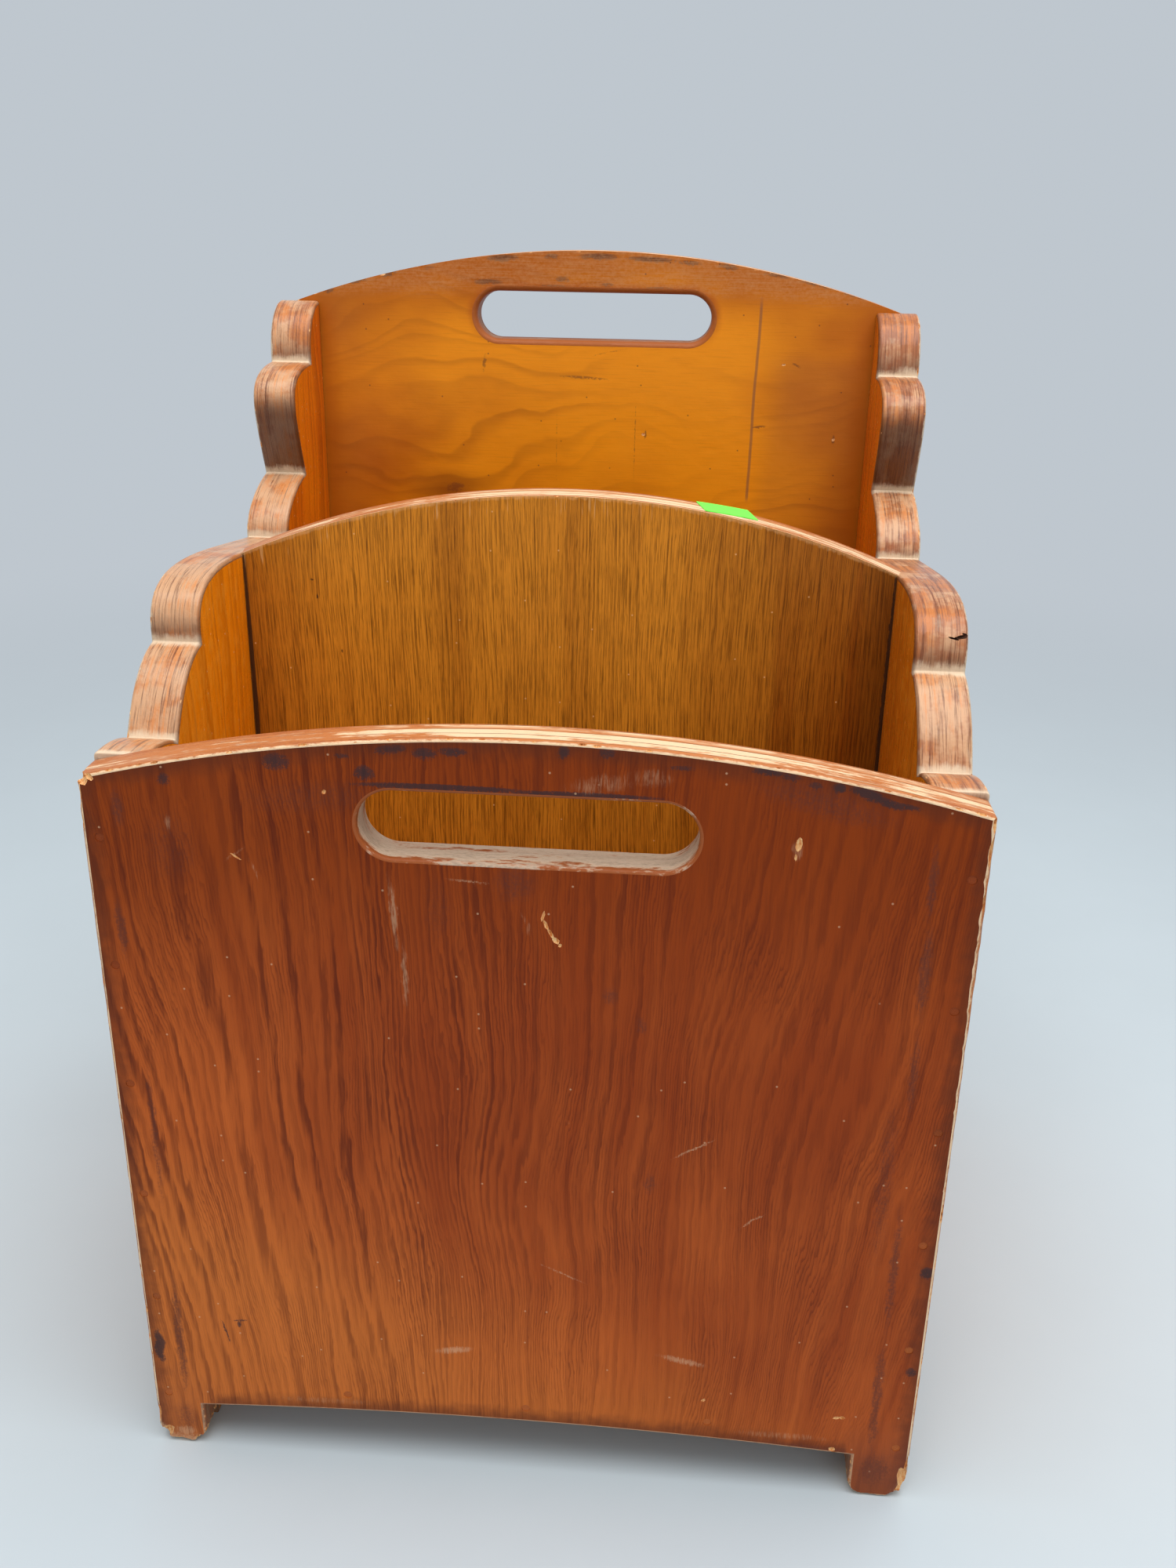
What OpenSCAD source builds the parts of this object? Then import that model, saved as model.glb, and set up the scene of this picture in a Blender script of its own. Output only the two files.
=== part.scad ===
// Wooden storage caddy: an arched front and back panel with hand slots, two scalloped
// side boards that step up from front to back, an arched divider and a bottom board.

/* [Overall] */
// Overall width, across the front panel
rack_w = 300; // [240:1:360]
// Overall depth, from the front face to the back face
rack_d = 286; // [250:1:340]

/* [Front panel] */
// Thickness of the front panel
front_t = 15; // [12:0.5:19]
// Height of the front panel at its upper corners
front_corner_h = 293.5; // [270:0.5:320]
// Rise of the front panel's arched top above its corners
front_rise = 19.5; // [8:0.5:35]
// Length of the front hand slot, between its rounded ends
front_slot_l = 113; // [90:1:150]
// Height of the front hand slot
front_slot_h = 24.5; // [20:0.5:32]
// Depth of the front hand slot's centre line below the top of the arch
front_slot_drop = 32; // [26:0.5:60]
// Radius of the eased rim round the front hand slot
front_slot_ease = 1.2; // [0.5:0.1:3]

/* [Back panel] */
// Thickness of the back panel
back_t = 16; // [12:0.5:19]
// How far the back panel's corners lie below the tops of the side boards
back_corner_drop = 3; // [0:0.5:8]
// Rise of the back panel's arched top above its corners
back_rise = 27.5; // [10:0.5:45]
// Length of the back hand slot, between its rounded ends
back_slot_l = 110.5; // [90:1:150]
// Height of the back hand slot
back_slot_h = 21.5; // [18:0.5:32]
// Depth of the back hand slot's centre line below the top of the arch
back_slot_drop = 29.2; // [24:0.5:60]
// Radius of the eased rim round the back hand slot
back_slot_ease = 2.5; // [0.5:0.1:4]

/* [Side boards] */
// Thickness of the side boards
side_t = 19; // [15:0.5:25]
// Height of the side boards above the front panel's corners, where they meet it
side_start_up = 2.5; // [0:0.5:6]
// Run of the first lobe, behind the front panel
lobe_1_run = 27.4; // [20:0.1:35]
// Fall of the first lobe to its crease
lobe_1_fall = 5; // [0:0.1:12]
// Run of the second lobe
lobe_2_run = 31.8; // [24:0.1:38]
// Rise of the second lobe to its crease
lobe_2_rise = 26.8; // [18:0.1:34]
// Rise of the third, long lobe from crease to crease
lobe_3_rise = 13; // [4:0.1:20]
// Run of the fourth lobe
lobe_4_run = 34.1; // [26:0.1:40]
// Rise of the fourth lobe to its crease
lobe_4_rise = 23.1; // [16:0.1:32]
// Run of the fifth lobe
lobe_5_run = 20.4; // [14:0.1:28]
// Rise of the fifth lobe to its crease
lobe_5_rise = 48.3; // [40:0.1:60]
// Run of the sixth lobe, up to the back panel
lobe_6_run = 21; // [14:0.1:28]
// Rise of the sixth lobe to the top of the board
lobe_6_rise = 26.1; // [18:0.1:34]

/* [Divider] */
// Thickness of the divider
divider_t = 16.5; // [12:0.5:19]
// Distance from the caddy's front face to the divider's front face
divider_from_front = 130; // [100:1:150]
// Height of the divider's corners above the second crease of the side boards
divider_up = 21.2; // [10:0.1:26]
// Rise of the divider's arched top
divider_rise = 27; // [10:0.5:45]
// Depth of the grooves in the side boards that hold the divider
groove_depth = 4; // [2:0.5:8]
// Clearance of the divider in its grooves, on each side
groove_play = 0.2; // [0.1:0.05:0.5]

/* [Bottom board and feet] */
// Thickness of the bottom board
bottom_t = 12; // [9:0.5:19]
// Gap between the crown of the panels' foot cut-outs and the bottom board
bottom_up = 1.2; // [0:0.1:6]
// Height of the feet, at the ends of the foot cut-outs
foot_h = 20.3; // [14:0.1:30]
// Width of the feet on the front and back panels
foot_w = 21; // [15:0.5:40]
// Sideways shift of the front and back foot cut-outs from the middle
foot_gap_shift = -1.5; // [-4:0.1:4]
// Rise of the shallow arch between the feet
foot_arch_rise = 4.5; // [1:0.1:8]
// Length of the feet on the side boards, from the outer face of the panel
side_foot_l = 45; // [36:1:70]
// Radius of the feet's outer lower corners
foot_outer_r = 5; // [2:0.5:7]
// Radius of the feet's inner lower corners
foot_inner_r = 2.5; // [1:0.5:4]

/* [Nails] */
// Diameter of the nails
nail_d = 2; // [1.6:0.1:2.5]
// Length of the nails
nail_l = 40; // [34:1:44]
// Diameter of the nail heads
nail_head_d = 3.2; // [2.6:0.1:3.6]
// Thickness of the nail heads
nail_head_t = 1; // [0.6:0.1:1.5]
// Depth that the nail heads are punched below the surface
nail_set = 1.5; // [0.8:0.1:3]
// Radial clearance of the nails in the wood
nail_play = 0.05; // [0.03:0.01:0.1]
// Depth of the face of the putty over the nail heads below the surface
putty_dish = 0.2; // [0:0.05:0.4]
// Distance of the nail rows from the outer faces of the side boards
nail_in = 5.7; // [4:0.1:9]
// Number of nails in each side board's front edge
front_nails = 6; // [2:1:8]
// Number of nails in each side board's back edge
back_nails = 8; // [2:1:10]
// Number of nails in each edge of the bottom board
bottom_nails = 3; // [2:1:5]
// Number of nails in each end of the divider
divider_nails = 4; // [2:1:6]
// Distance of the lowest nails in the front and back panels above the floor
nail_first_h = 26; // [24:1:50]
// Distance of the highest nails below the corners of the front panel and of the divider
nail_top_margin = 22; // [18:1:50]
// Distance of the highest nails in the back panel below the upper crease of the side boards
back_nail_below = 7; // [5:0.5:30]

/* [Label] */
// Length of the blank sticker on the divider's arched top
label_l = 21.5; // [10:0.5:40]
// Width of the sticker
label_w = 15; // [8:0.5:20]
// Thickness of the sticker
label_t = 0.3; // [0.1:0.05:0.5]
// Distance of the sticker's middle from the caddy's middle
label_x = 63.5; // [-90:0.5:90]
// Distance of the sticker's middle behind the divider's front face
label_behind = 12; // [4:0.5:14]
// Turn of the sticker on the divider's top, in degrees
label_turn = 14.5; // [-45:0.5:45]
// Thickness of the glue film under the sticker
label_glue = 0.05; // [0.02:0.01:0.1]

/* [Hidden] */

arc_fn = 240;            // facets of the large arcs
hole_fn = 24;            // facets of the nails and their holes
lobe_steps = 14;         // straight steps along each lobe of the scalloped edge
over = 1;                // how far a cutter runs past the face that it opens

front_y = -rack_d / 2;   // front face of the caddy
back_y = rack_d / 2;     // back face of the caddy
inner_x = rack_w / 2 - side_t;
side_l = rack_d - front_t - back_t;

// Creases of the scalloped edge, as [distance behind the front face, height]
scallop_start = [front_t, front_corner_h + side_start_up];
crease_1 = scallop_start + [lobe_1_run, -lobe_1_fall];
crease_2 = crease_1 + [lobe_2_run, lobe_2_rise];
lobe_3_run = side_l - lobe_1_run - lobe_2_run - lobe_4_run - lobe_5_run - lobe_6_run;
crease_3 = crease_2 + [lobe_3_run, lobe_3_rise];
crease_4 = crease_3 + [lobe_4_run, lobe_4_rise];
crease_5 = crease_4 + [lobe_5_run, lobe_5_rise];
side_top = crease_5 + [lobe_6_run, lobe_6_rise];

// Shape of each lobe: direction and reach at its lower end, then at its upper end.
// A reach is a share of the straight distance between the lobe's two creases.
shape_1 = [4, 0.33, -26, 0.32];
shape_2 = [62, 0.39, 8, 0.33];
shape_3 = [97, 0.28, -7, 0.61];
shape_4 = [95, 0.29, 10, 0.38];
shape_5 = [113, 0.67, 2, 0.81];
shape_6 = [95, 0.36, 5, 0.45];

divider_corner_h = crease_2[1] + divider_up;
back_corner_h = side_top[1] - back_corner_drop;
divider_top_h = divider_corner_h + divider_rise;
divider_r = arc_radius(inner_x, divider_rise);
divider_half_w = inner_x + groove_depth - groove_play;
divider_y = front_y + divider_from_front;
divider_mid_y = divider_y + divider_t / 2;
bottom_z = foot_h + foot_arch_rise + bottom_up;
bottom_mid_z = bottom_z + bottom_t / 2;
bottom_top_z = bottom_z + bottom_t;

nail_x = rack_w / 2 - nail_in;               // nails into the edges of the side boards
front_nail_zs = spread(nail_first_h, front_corner_h - nail_top_margin, front_nails);
back_nail_zs = spread(nail_first_h, crease_5[1] - back_nail_below, back_nails);
bottom_nail_in = 60;                         // nails in the bottom board, in from its corners
bottom_nail_xs = spread(-inner_x + bottom_nail_in, inner_x - bottom_nail_in, bottom_nails);
bottom_nail_ys = spread(front_y + front_t + bottom_nail_in, back_y - back_t - bottom_nail_in,
                        bottom_nails);
divider_nail_low = 45;                       // lowest nail in the divider above the bottom board
divider_nail_zs = spread(bottom_top_z + divider_nail_low, divider_corner_h - nail_top_margin,
                         divider_nails);

front_color = [0.62, 0.29, 0.10];
back_color = [0.76, 0.45, 0.12];
side_color = [0.72, 0.38, 0.15];
divider_color = [0.60, 0.38, 0.12];
bottom_color = [0.58, 0.40, 0.20];
nail_color = [0.45, 0.45, 0.46];
putty_color = [0.55, 0.30, 0.12];
label_color = [0.25, 0.80, 0.15];

// Radius of an arc over a half chord with a given rise
function arc_radius(half, rise) = (half * half + rise * rise) / (2 * rise);

// Evenly spread values from low to high
function spread(low, high, count) = [for (i = [0:count - 1]) low + (high - low) * i / (count - 1)];

function direction(angle) = [cos(angle), sin(angle)];

// Points of one lobe from crease a to crease b, without b itself
function lobe(a, b, shape) =
    let (reach = norm(b - a),
         pull_a = a + direction(shape[0]) * shape[1] * reach,
         pull_b = b - direction(shape[2]) * shape[3] * reach)
    [for (i = [0:lobe_steps - 1])
        let (t = i / lobe_steps, s = 1 - t)
        s * s * s * a + 3 * s * s * t * pull_a + 3 * s * t * t * pull_b + t * t * t * b];

// Upright outline with a flat foot, straight sides and an arched top
module arched_outline(half_w, top_h, r) {
    intersection() {
        translate([-half_w, 0]) square([2 * half_w, top_h]);
        translate([0, top_h - r]) circle(r = r, $fn = arc_fn);
    }
}

// Gap between two feet, with a shallow arched crown
module foot_gap_outline(width) {
    r = arc_radius(width / 2, foot_arch_rise);
    crown = foot_h + foot_arch_rise;
    intersection() {
        translate([-width / 2, -over]) square([width, crown + over]);
        translate([0, crown - r]) circle(r = r, $fn = arc_fn);
    }
}

// What a rounded lower corner takes away, for a corner at the origin that opens towards +X
module corner_waste(r) {
    difference() {
        translate([-over, -over]) square(r + over);
        translate([r, r]) circle(r = r, $fn = 48);
    }
}

// A foot gap and the four rounded corners of the two feet beside it
module foot_cuts(left, right, gap_left, gap_right) {
    translate([(gap_left + gap_right) / 2, 0]) foot_gap_outline(gap_right - gap_left);
    translate([left, 0]) corner_waste(foot_outer_r);
    translate([right, 0]) mirror([1, 0]) corner_waste(foot_outer_r);
    translate([gap_left, 0]) mirror([1, 0]) corner_waste(foot_inner_r);
    translate([gap_right, 0]) corner_waste(foot_inner_r);
}

// Quarter-round flare of a hand slot's rim, from its centre line outwards
module rim_profile(slot_h, ease) {
    difference() {
        square([slot_h / 2 + ease, ease + over]);
        translate([slot_h / 2 + ease, 0]) circle(r = ease, $fn = 48);
    }
}

// One flared rim of a hand slot, at the face z = 0 and widening upwards
module slot_rim(slot_l, slot_h, ease) {
    straight = slot_l - slot_h;
    translate([0, 0, -ease]) {
        rotate([90, 0, 90]) linear_extrude(straight, center = true) {
            rim_profile(slot_h, ease);
            mirror([1, 0]) rim_profile(slot_h, ease);
        }
        for (x = [-straight / 2, straight / 2])
            translate([x, 0, 0]) rotate_extrude($fn = 96) rim_profile(slot_h, ease);
    }
}

// Cutter for a hand slot with round ends and eased rims, through a board from z = 0 to thick
module hand_slot(slot_l, slot_h, thick, ease) {
    straight = slot_l - slot_h;
    translate([0, 0, -over]) linear_extrude(thick + 2 * over) {
        square([straight, slot_h], center = true);
        for (x = [-straight / 2, straight / 2])
            translate([x, 0]) circle(d = slot_h, $fn = 96);
    }
    translate([0, 0, thick]) slot_rim(slot_l, slot_h, ease);
    mirror([0, 0, 1]) slot_rim(slot_l, slot_h, ease);
}

// Stands an outline up as a board with its front face at y and its thickness towards +Y
module stand_across(y, thick) {
    translate([0, y + thick, 0]) rotate([90, 0, 0]) children();
}

// Front or back panel before its nail holes
module hand_panel(thick, corner_h, rise, slot_l, slot_h, slot_drop, ease) {
    half_w = rack_w / 2;
    top_h = corner_h + rise;
    difference() {
        linear_extrude(thick) difference() {
            arched_outline(half_w, top_h, arc_radius(half_w, rise));
            foot_cuts(-half_w, half_w, -half_w + foot_w + foot_gap_shift,
                      half_w - foot_w + foot_gap_shift);
        }
        translate([0, top_h - slot_drop, 0]) hand_slot(slot_l, slot_h, thick, ease);
    }
}

// A nail driven towards +Z from a surface at z = 0
module nail() {
    tip = nail_d;
    translate([0, 0, nail_set]) {
        cylinder(d = nail_head_d, h = nail_head_t, $fn = hole_fn);
        cylinder(d = nail_d, h = nail_l - tip, $fn = hole_fn);
        translate([0, 0, nail_l - tip]) cylinder(d1 = nail_d, d2 = nail_d / 4, h = tip, $fn = hole_fn);
    }
}

// The hole that a nail leaves: a punched mouth and a bore with the same clearance all round
module nail_hole() {
    translate([0, 0, -over])
        cylinder(d = nail_head_d + 2 * nail_play, h = over + nail_set + nail_head_t + nail_play,
                 $fn = hole_fn);
    cylinder(d = nail_d + 2 * nail_play, h = nail_set + nail_l + nail_play, $fn = hole_fn);
}

// Putty in the mouth of a nail hole, from just below the surface to the nail's head
module putty() {
    translate([0, 0, putty_dish])
        cylinder(d = nail_head_d, h = nail_set - nail_play - putty_dish, $fn = hole_fn);
}

// Rows of nails, holes or putty, placed by the surface that they are driven from
module from_front(xs, zs) {
    for (x = xs, z = zs) translate([x, front_y, z]) rotate([-90, 0, 0]) children();
}
module from_back(xs, zs) {
    for (x = xs, z = zs) translate([x, back_y, z]) rotate([90, 0, 0]) children();
}
module from_side(side, ys, zs) {
    for (y = ys, z = zs) translate([side * rack_w / 2, y, z]) rotate([0, -90 * side, 0]) children();
}

module front_panel() {
    color(front_color) difference() {
        stand_across(front_y, front_t)
            hand_panel(front_t, front_corner_h, front_rise, front_slot_l, front_slot_h,
                       front_slot_drop, front_slot_ease);
        from_front([-nail_x, nail_x], front_nail_zs) nail_hole();
        from_front(bottom_nail_xs, [bottom_mid_z]) nail_hole();
    }
}

module back_panel() {
    color(back_color) difference() {
        stand_across(back_y - back_t, back_t)
            hand_panel(back_t, back_corner_h, back_rise, back_slot_l, back_slot_h,
                       back_slot_drop, back_slot_ease);
        from_back([-nail_x, nail_x], back_nail_zs) nail_hole();
        from_back(bottom_nail_xs, [bottom_mid_z]) nail_hole();
    }
}

// Outline of a side board: x is the distance behind the caddy's front face, y is the height
module side_outline() {
    side_end = rack_d - back_t;
    difference() {
        polygon(concat(
            [[side_end, 0], [front_t, 0]],
            lobe(scallop_start, crease_1, shape_1),
            lobe(crease_1, crease_2, shape_2),
            lobe(crease_2, crease_3, shape_3),
            lobe(crease_3, crease_4, shape_4),
            lobe(crease_4, crease_5, shape_5),
            lobe(crease_5, side_top, shape_6),
            [side_top]));
        translate([rack_d / 2, 0]) foot_gap_outline(rack_d - 2 * side_foot_l);
        translate([side_foot_l, 0]) mirror([1, 0]) corner_waste(foot_inner_r);
        translate([rack_d - side_foot_l, 0]) corner_waste(foot_inner_r);
    }
}

// Right side board, before its nail holes
module side_blank() {
    difference() {
        translate([inner_x, front_y, 0]) rotate([90, 0, 90]) linear_extrude(side_t) side_outline();
        translate([inner_x - over, divider_y - groove_play, bottom_top_z])
            cube([groove_depth + over, divider_t + 2 * groove_play, side_top[1]]);
        translate([rack_w / 2, back_y, 0]) rotate([90, 0, 0]) mirror([1, 0]) linear_extrude(rack_d)
            corner_waste(foot_outer_r);
    }
}

// Side board on the right (side = 1) or on the left (side = -1)
module side_board(side) {
    color(side_color) difference() {
        mirror([1 - side, 0, 0]) side_blank();
        from_front([side * nail_x], front_nail_zs) nail_hole();
        from_back([side * nail_x], back_nail_zs) nail_hole();
        from_side(side, bottom_nail_ys, [bottom_mid_z]) nail_hole();
        from_side(side, [divider_mid_y], divider_nail_zs) nail_hole();
    }
}

module side_left() {
    side_board(-1);
}

module side_right() {
    side_board(1);
}

module divider() {
    color(divider_color) difference() {
        stand_across(divider_y, divider_t) linear_extrude(divider_t) intersection() {
            arched_outline(divider_half_w, divider_top_h, divider_r);
            translate([-divider_half_w, bottom_top_z]) square([2 * divider_half_w, divider_top_h]);
        }
        for (side = [-1, 1]) from_side(side, [divider_mid_y], divider_nail_zs) nail_hole();
    }
}

module bottom() {
    color(bottom_color) difference() {
        translate([-inner_x, front_y + front_t, bottom_z]) cube([2 * inner_x, side_l, bottom_t]);
        from_front(bottom_nail_xs, [bottom_mid_z]) nail_hole();
        from_back(bottom_nail_xs, [bottom_mid_z]) nail_hole();
        for (side = [-1, 1]) from_side(side, bottom_nail_ys, [bottom_mid_z]) nail_hole();
    }
}

// Blank sticker that follows the divider's arched top, turned a little and over its back edge
module label() {
    r = divider_r + label_glue;
    strip_w = label_l + 2 * label_w;
    color(label_color) intersection() {
        stand_across(divider_y - strip_w / 2, 2 * strip_w) linear_extrude(2 * strip_w)
            translate([0, divider_top_h - divider_r]) difference() {
                circle(r = r + label_t, $fn = arc_fn);
                circle(r = r, $fn = arc_fn);
            }
        translate([label_x, divider_y + label_behind, divider_corner_h]) rotate(label_turn)
            linear_extrude(divider_rise + over) square([label_l, label_w], center = true);
    }
}

// Nails of the front panel, into one side board or into the bottom board
module front_nails(xs, zs) {
    color(nail_color) from_front(xs, zs) nail();
}

// Nails of the back panel
module back_nails(xs, zs) {
    color(nail_color) from_back(xs, zs) nail();
}

// Nails through one side board
module side_nails(side, ys, zs) {
    color(nail_color) from_side(side, ys, zs) nail();
}

module front_nails_left() {
    front_nails([-nail_x], front_nail_zs);
}
module front_nails_right() {
    front_nails([nail_x], front_nail_zs);
}
module front_nails_bottom() {
    front_nails(bottom_nail_xs, [bottom_mid_z]);
}
module back_nails_left() {
    back_nails([-nail_x], back_nail_zs);
}
module back_nails_right() {
    back_nails([nail_x], back_nail_zs);
}
module back_nails_bottom() {
    back_nails(bottom_nail_xs, [bottom_mid_z]);
}
module side_nails_left_bottom() {
    side_nails(-1, bottom_nail_ys, [bottom_mid_z]);
}
module side_nails_right_bottom() {
    side_nails(1, bottom_nail_ys, [bottom_mid_z]);
}
module side_nails_left_divider() {
    side_nails(-1, [divider_mid_y], divider_nail_zs);
}
module side_nails_right_divider() {
    side_nails(1, [divider_mid_y], divider_nail_zs);
}

module front_putty() {
    color(putty_color) {
        from_front([-nail_x, nail_x], front_nail_zs) putty();
        from_front(bottom_nail_xs, [bottom_mid_z]) putty();
    }
}

module back_putty() {
    color(putty_color) {
        from_back([-nail_x, nail_x], back_nail_zs) putty();
        from_back(bottom_nail_xs, [bottom_mid_z]) putty();
    }
}

// Putty over the nails of one side board
module side_putty(side) {
    color(putty_color) {
        from_side(side, bottom_nail_ys, [bottom_mid_z]) putty();
        from_side(side, [divider_mid_y], divider_nail_zs) putty();
    }
}

module side_putty_left() {
    side_putty(-1);
}
module side_putty_right() {
    side_putty(1);
}

front_panel();
back_panel();
side_left();
side_right();
divider();
bottom();
front_nails_left();
front_nails_right();
front_nails_bottom();
back_nails_left();
back_nails_right();
back_nails_bottom();
side_nails_left_bottom();
side_nails_right_bottom();
side_nails_left_divider();
side_nails_right_divider();
front_putty();
back_putty();
side_putty_left();
side_putty_right();
label();
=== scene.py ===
import math
import random

import bmesh
import bpy
from mathutils import Euler, Matrix, Vector


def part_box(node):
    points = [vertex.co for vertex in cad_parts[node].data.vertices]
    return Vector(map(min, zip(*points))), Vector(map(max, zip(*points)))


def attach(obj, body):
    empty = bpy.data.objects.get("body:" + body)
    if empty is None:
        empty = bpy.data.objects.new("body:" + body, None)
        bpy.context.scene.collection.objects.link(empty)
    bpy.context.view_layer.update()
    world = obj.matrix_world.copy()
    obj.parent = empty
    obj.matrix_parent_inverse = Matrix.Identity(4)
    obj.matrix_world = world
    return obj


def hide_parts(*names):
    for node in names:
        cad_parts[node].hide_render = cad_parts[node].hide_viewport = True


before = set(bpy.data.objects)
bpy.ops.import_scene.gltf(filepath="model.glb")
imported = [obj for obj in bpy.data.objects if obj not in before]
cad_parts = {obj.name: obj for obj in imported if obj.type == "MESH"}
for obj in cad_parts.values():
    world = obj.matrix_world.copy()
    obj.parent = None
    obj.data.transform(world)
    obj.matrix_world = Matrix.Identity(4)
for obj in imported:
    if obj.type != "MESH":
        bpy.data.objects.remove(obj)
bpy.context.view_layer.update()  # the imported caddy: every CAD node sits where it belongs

mm = 0.001
past = 10 * mm  # how far a cutter reaches past its board
quarter = math.pi / 2
print("stage: frame loaded")


# modelling helpers, in metres

def clearSelection():
    if bpy.context.object and bpy.context.object.mode != "OBJECT":
        bpy.ops.object.mode_set(mode="OBJECT")
    bpy.ops.object.select_all(action="DESELECT")


def makeActive(obj):
    clearSelection()
    obj.select_set(True)
    bpy.context.view_layer.objects.active = obj


def applyPlace(obj):
    makeActive(obj)
    bpy.ops.object.transform_apply(location=True, rotation=True, scale=True)
    return obj


def addBlock(name, low, high):
    low, high = Vector(low), Vector(high)
    clearSelection()
    bpy.ops.mesh.primitive_cube_add(size=1, location=(low + high) / 2, scale=high - low)
    block = bpy.context.object
    block.name = name
    return applyPlace(block)


def addRod(radius, length, place, turn=(quarter, 0, 0), sides=64):
    clearSelection()
    bpy.ops.mesh.primitive_cylinder_add(vertices=sides, radius=radius, depth=length, location=place,
                                        rotation=turn)
    return bpy.context.object


def applyModifier(obj, kind, **settings):
    makeActive(obj)
    modifier = obj.modifiers.new(kind.title(), kind)
    for key, value in settings.items():
        setattr(modifier, key, value)
    bpy.ops.object.modifier_apply(modifier=modifier.name)


def cutWith(board, cutter, operation="DIFFERENCE", **settings):
    applyModifier(board, "BOOLEAN", object=cutter, operation=operation, solver="EXACT", **settings)
    bpy.data.objects.remove(cutter)


def bevelEdges(obj, chosen, width, segments):  # rounds the edges that chosen() picks by their ends
    makeActive(obj)
    bpy.ops.object.mode_set(mode="EDIT")
    bpy.ops.mesh.select_mode(type="EDGE")
    bpy.ops.mesh.select_all(action="DESELECT")
    mesh = bmesh.from_edit_mesh(obj.data)
    for edge in mesh.edges:
        edge.select = chosen(edge.verts[0].co, edge.verts[1].co)
    bmesh.update_edit_mesh(obj.data)
    bpy.ops.mesh.bevel(offset=width, segments=segments, affect="EDGES")
    bpy.ops.object.mode_set(mode="OBJECT")


def editAll(obj):  # edit mode, with the whole mesh chosen
    makeActive(obj)
    bpy.ops.object.mode_set(mode="EDIT")
    bpy.ops.mesh.select_all(action="SELECT")


def roughen(obj, amount, seed, uniform=0):  # moves each vertex a little
    editAll(obj)
    bpy.ops.transform.vertex_random(offset=amount, uniform=uniform, normal=0, seed=seed)
    bpy.ops.object.mode_set(mode="OBJECT")


def near(a, b):
    return abs(a - b) < 1e-5


def alongY(a, b):
    return near(a.x, b.x) and near(a.z, b.z)


def inMetres(sizes):
    return {key: value * mm for key, value in sizes.items() if not isinstance(value, tuple)}


# arched boards, hand slots and feet; the sizes of every piece are in millimetres

footSizes = {"top": 24.8, "rise": 4.5, "half": 129, "middle": -1.5, "outerRound": 7.5, "innerRound": 5,
             "sideOuterRound": 8, "sideInnerRound": 4}


def archRadius(half, rise):
    return (half ** 2 + rise ** 2) / (2 * rise)


def archedBoard(name, low, high, radius):  # a block whose top is trimmed to an arc
    board = addBlock(name, low, high)
    middle = ((low[0] + high[0]) / 2, (low[1] + high[1]) / 2, high[2] - radius)
    rod = addRod(radius, high[1] - low[1] + past, middle, sides=720)
    cutWith(board, applyPlace(rod), "INTERSECT")
    return board


def cutHandSlot(board, low, high, sizes):
    length, height, centre = sizes["slotLength"], sizes["slotHeight"], sizes["slotCentre"]
    slot = addBlock("slotCutter", (-length / 2, low[1] - past, centre - height / 2),
                    (length / 2, high[1] + past, centre + height / 2))
    bevelEdges(slot, alongY, height / 2 * 0.999, 24)
    cutWith(board, slot)

    def onRim(p):
        return abs(p.x) < length / 2 + 1e-4 and abs(p.z - centre) < height / 2 + 1e-4

    bevelEdges(board, lambda a, b: onRim(a) and onRim(b) and near(a.y, b.y), sizes["slotRim"], 5)


def cutFeet(board, low, high):
    feet = inMetres(footSizes)
    left, right = feet["middle"] - feet["half"], feet["middle"] + feet["half"]
    gap = archedBoard("gapCutter", (left, low[1] - past, -5 * past), (right, high[1] + past, feet["top"]),
                      archRadius(feet["half"], feet["rise"]))
    cutWith(board, gap)
    for ends, width, segments in (((low[0], high[0]), feet["outerRound"], 6),
                                  ((left, right), feet["innerRound"], 5)):
        bevelEdges(board, lambda a, b: alongY(a, b) and near(a.z, low[2]) and any(near(a.x, x) for x in ends),
                   width, segments)


def paintFaces(board, finishes, choose):  # gives each face the finish that choose() names
    board.data.materials.clear()
    for finish in finishes.values():
        board.data.materials.append(finish)
    order = list(finishes)
    for face in board.data.polygons:
        face.material_index = order.index(choose(face))


def easeEdges(board, width, segments=3):  # rounds every sharp edge that is still there
    applyModifier(board, "BEVEL", width=width, segments=segments, limit_method="ANGLE",
                  angle_limit=math.radians(38))


def cornerCutter(start, end, inward, radius):  # rounds a bottom corner that runs from start to end
    start, end, inward = Vector(start), Vector(end), Vector(inward)
    depth = radius - 0.15 * mm
    along = end - start
    reach = list(zip(start - inward * mm, end + inward * depth))
    block = addBlock("cornerBlock", [min(pair) for pair in reach], [max(pair) for pair in reach])
    turn = (0, quarter, 0) if abs(along.x) > abs(along.y) else (quarter, 0, 0)
    rod = addRod(radius, along.length + past, (start + end) / 2 + inward * depth, turn)
    cutWith(block, applyPlace(rod))
    return block


# worn places: every chip is a lump with a ragged skin that is cut out of the board

def makeLump(fineness, seed):  # a unit lump with a jittered skin
    clearSelection()
    bpy.ops.mesh.primitive_ico_sphere_add(subdivisions=fineness, radius=1)
    lump = bpy.context.object
    roughen(lump, 0.22, seed)
    bpy.context.collection.objects.unlink(lump)
    return lump


smallLumps = [makeLump(1, seed) for seed in range(1, 6)]
largeLumps = [makeLump(2, seed) for seed in range(6, 11)]


def addLump(index, place, size, turn=(0, 0, 0)):  # all in millimetres and degrees
    model = (largeLumps if sorted(size)[1] > 0.9 else smallLumps)[index % 5]
    lump = model.copy()
    lump.data = model.data.copy()
    bpy.context.collection.objects.link(lump)
    lump.location = Vector(place) * mm
    lump.rotation_euler = [math.radians(angle) for angle in turn]
    lump.scale = Vector(size) * mm
    return lump


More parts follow.
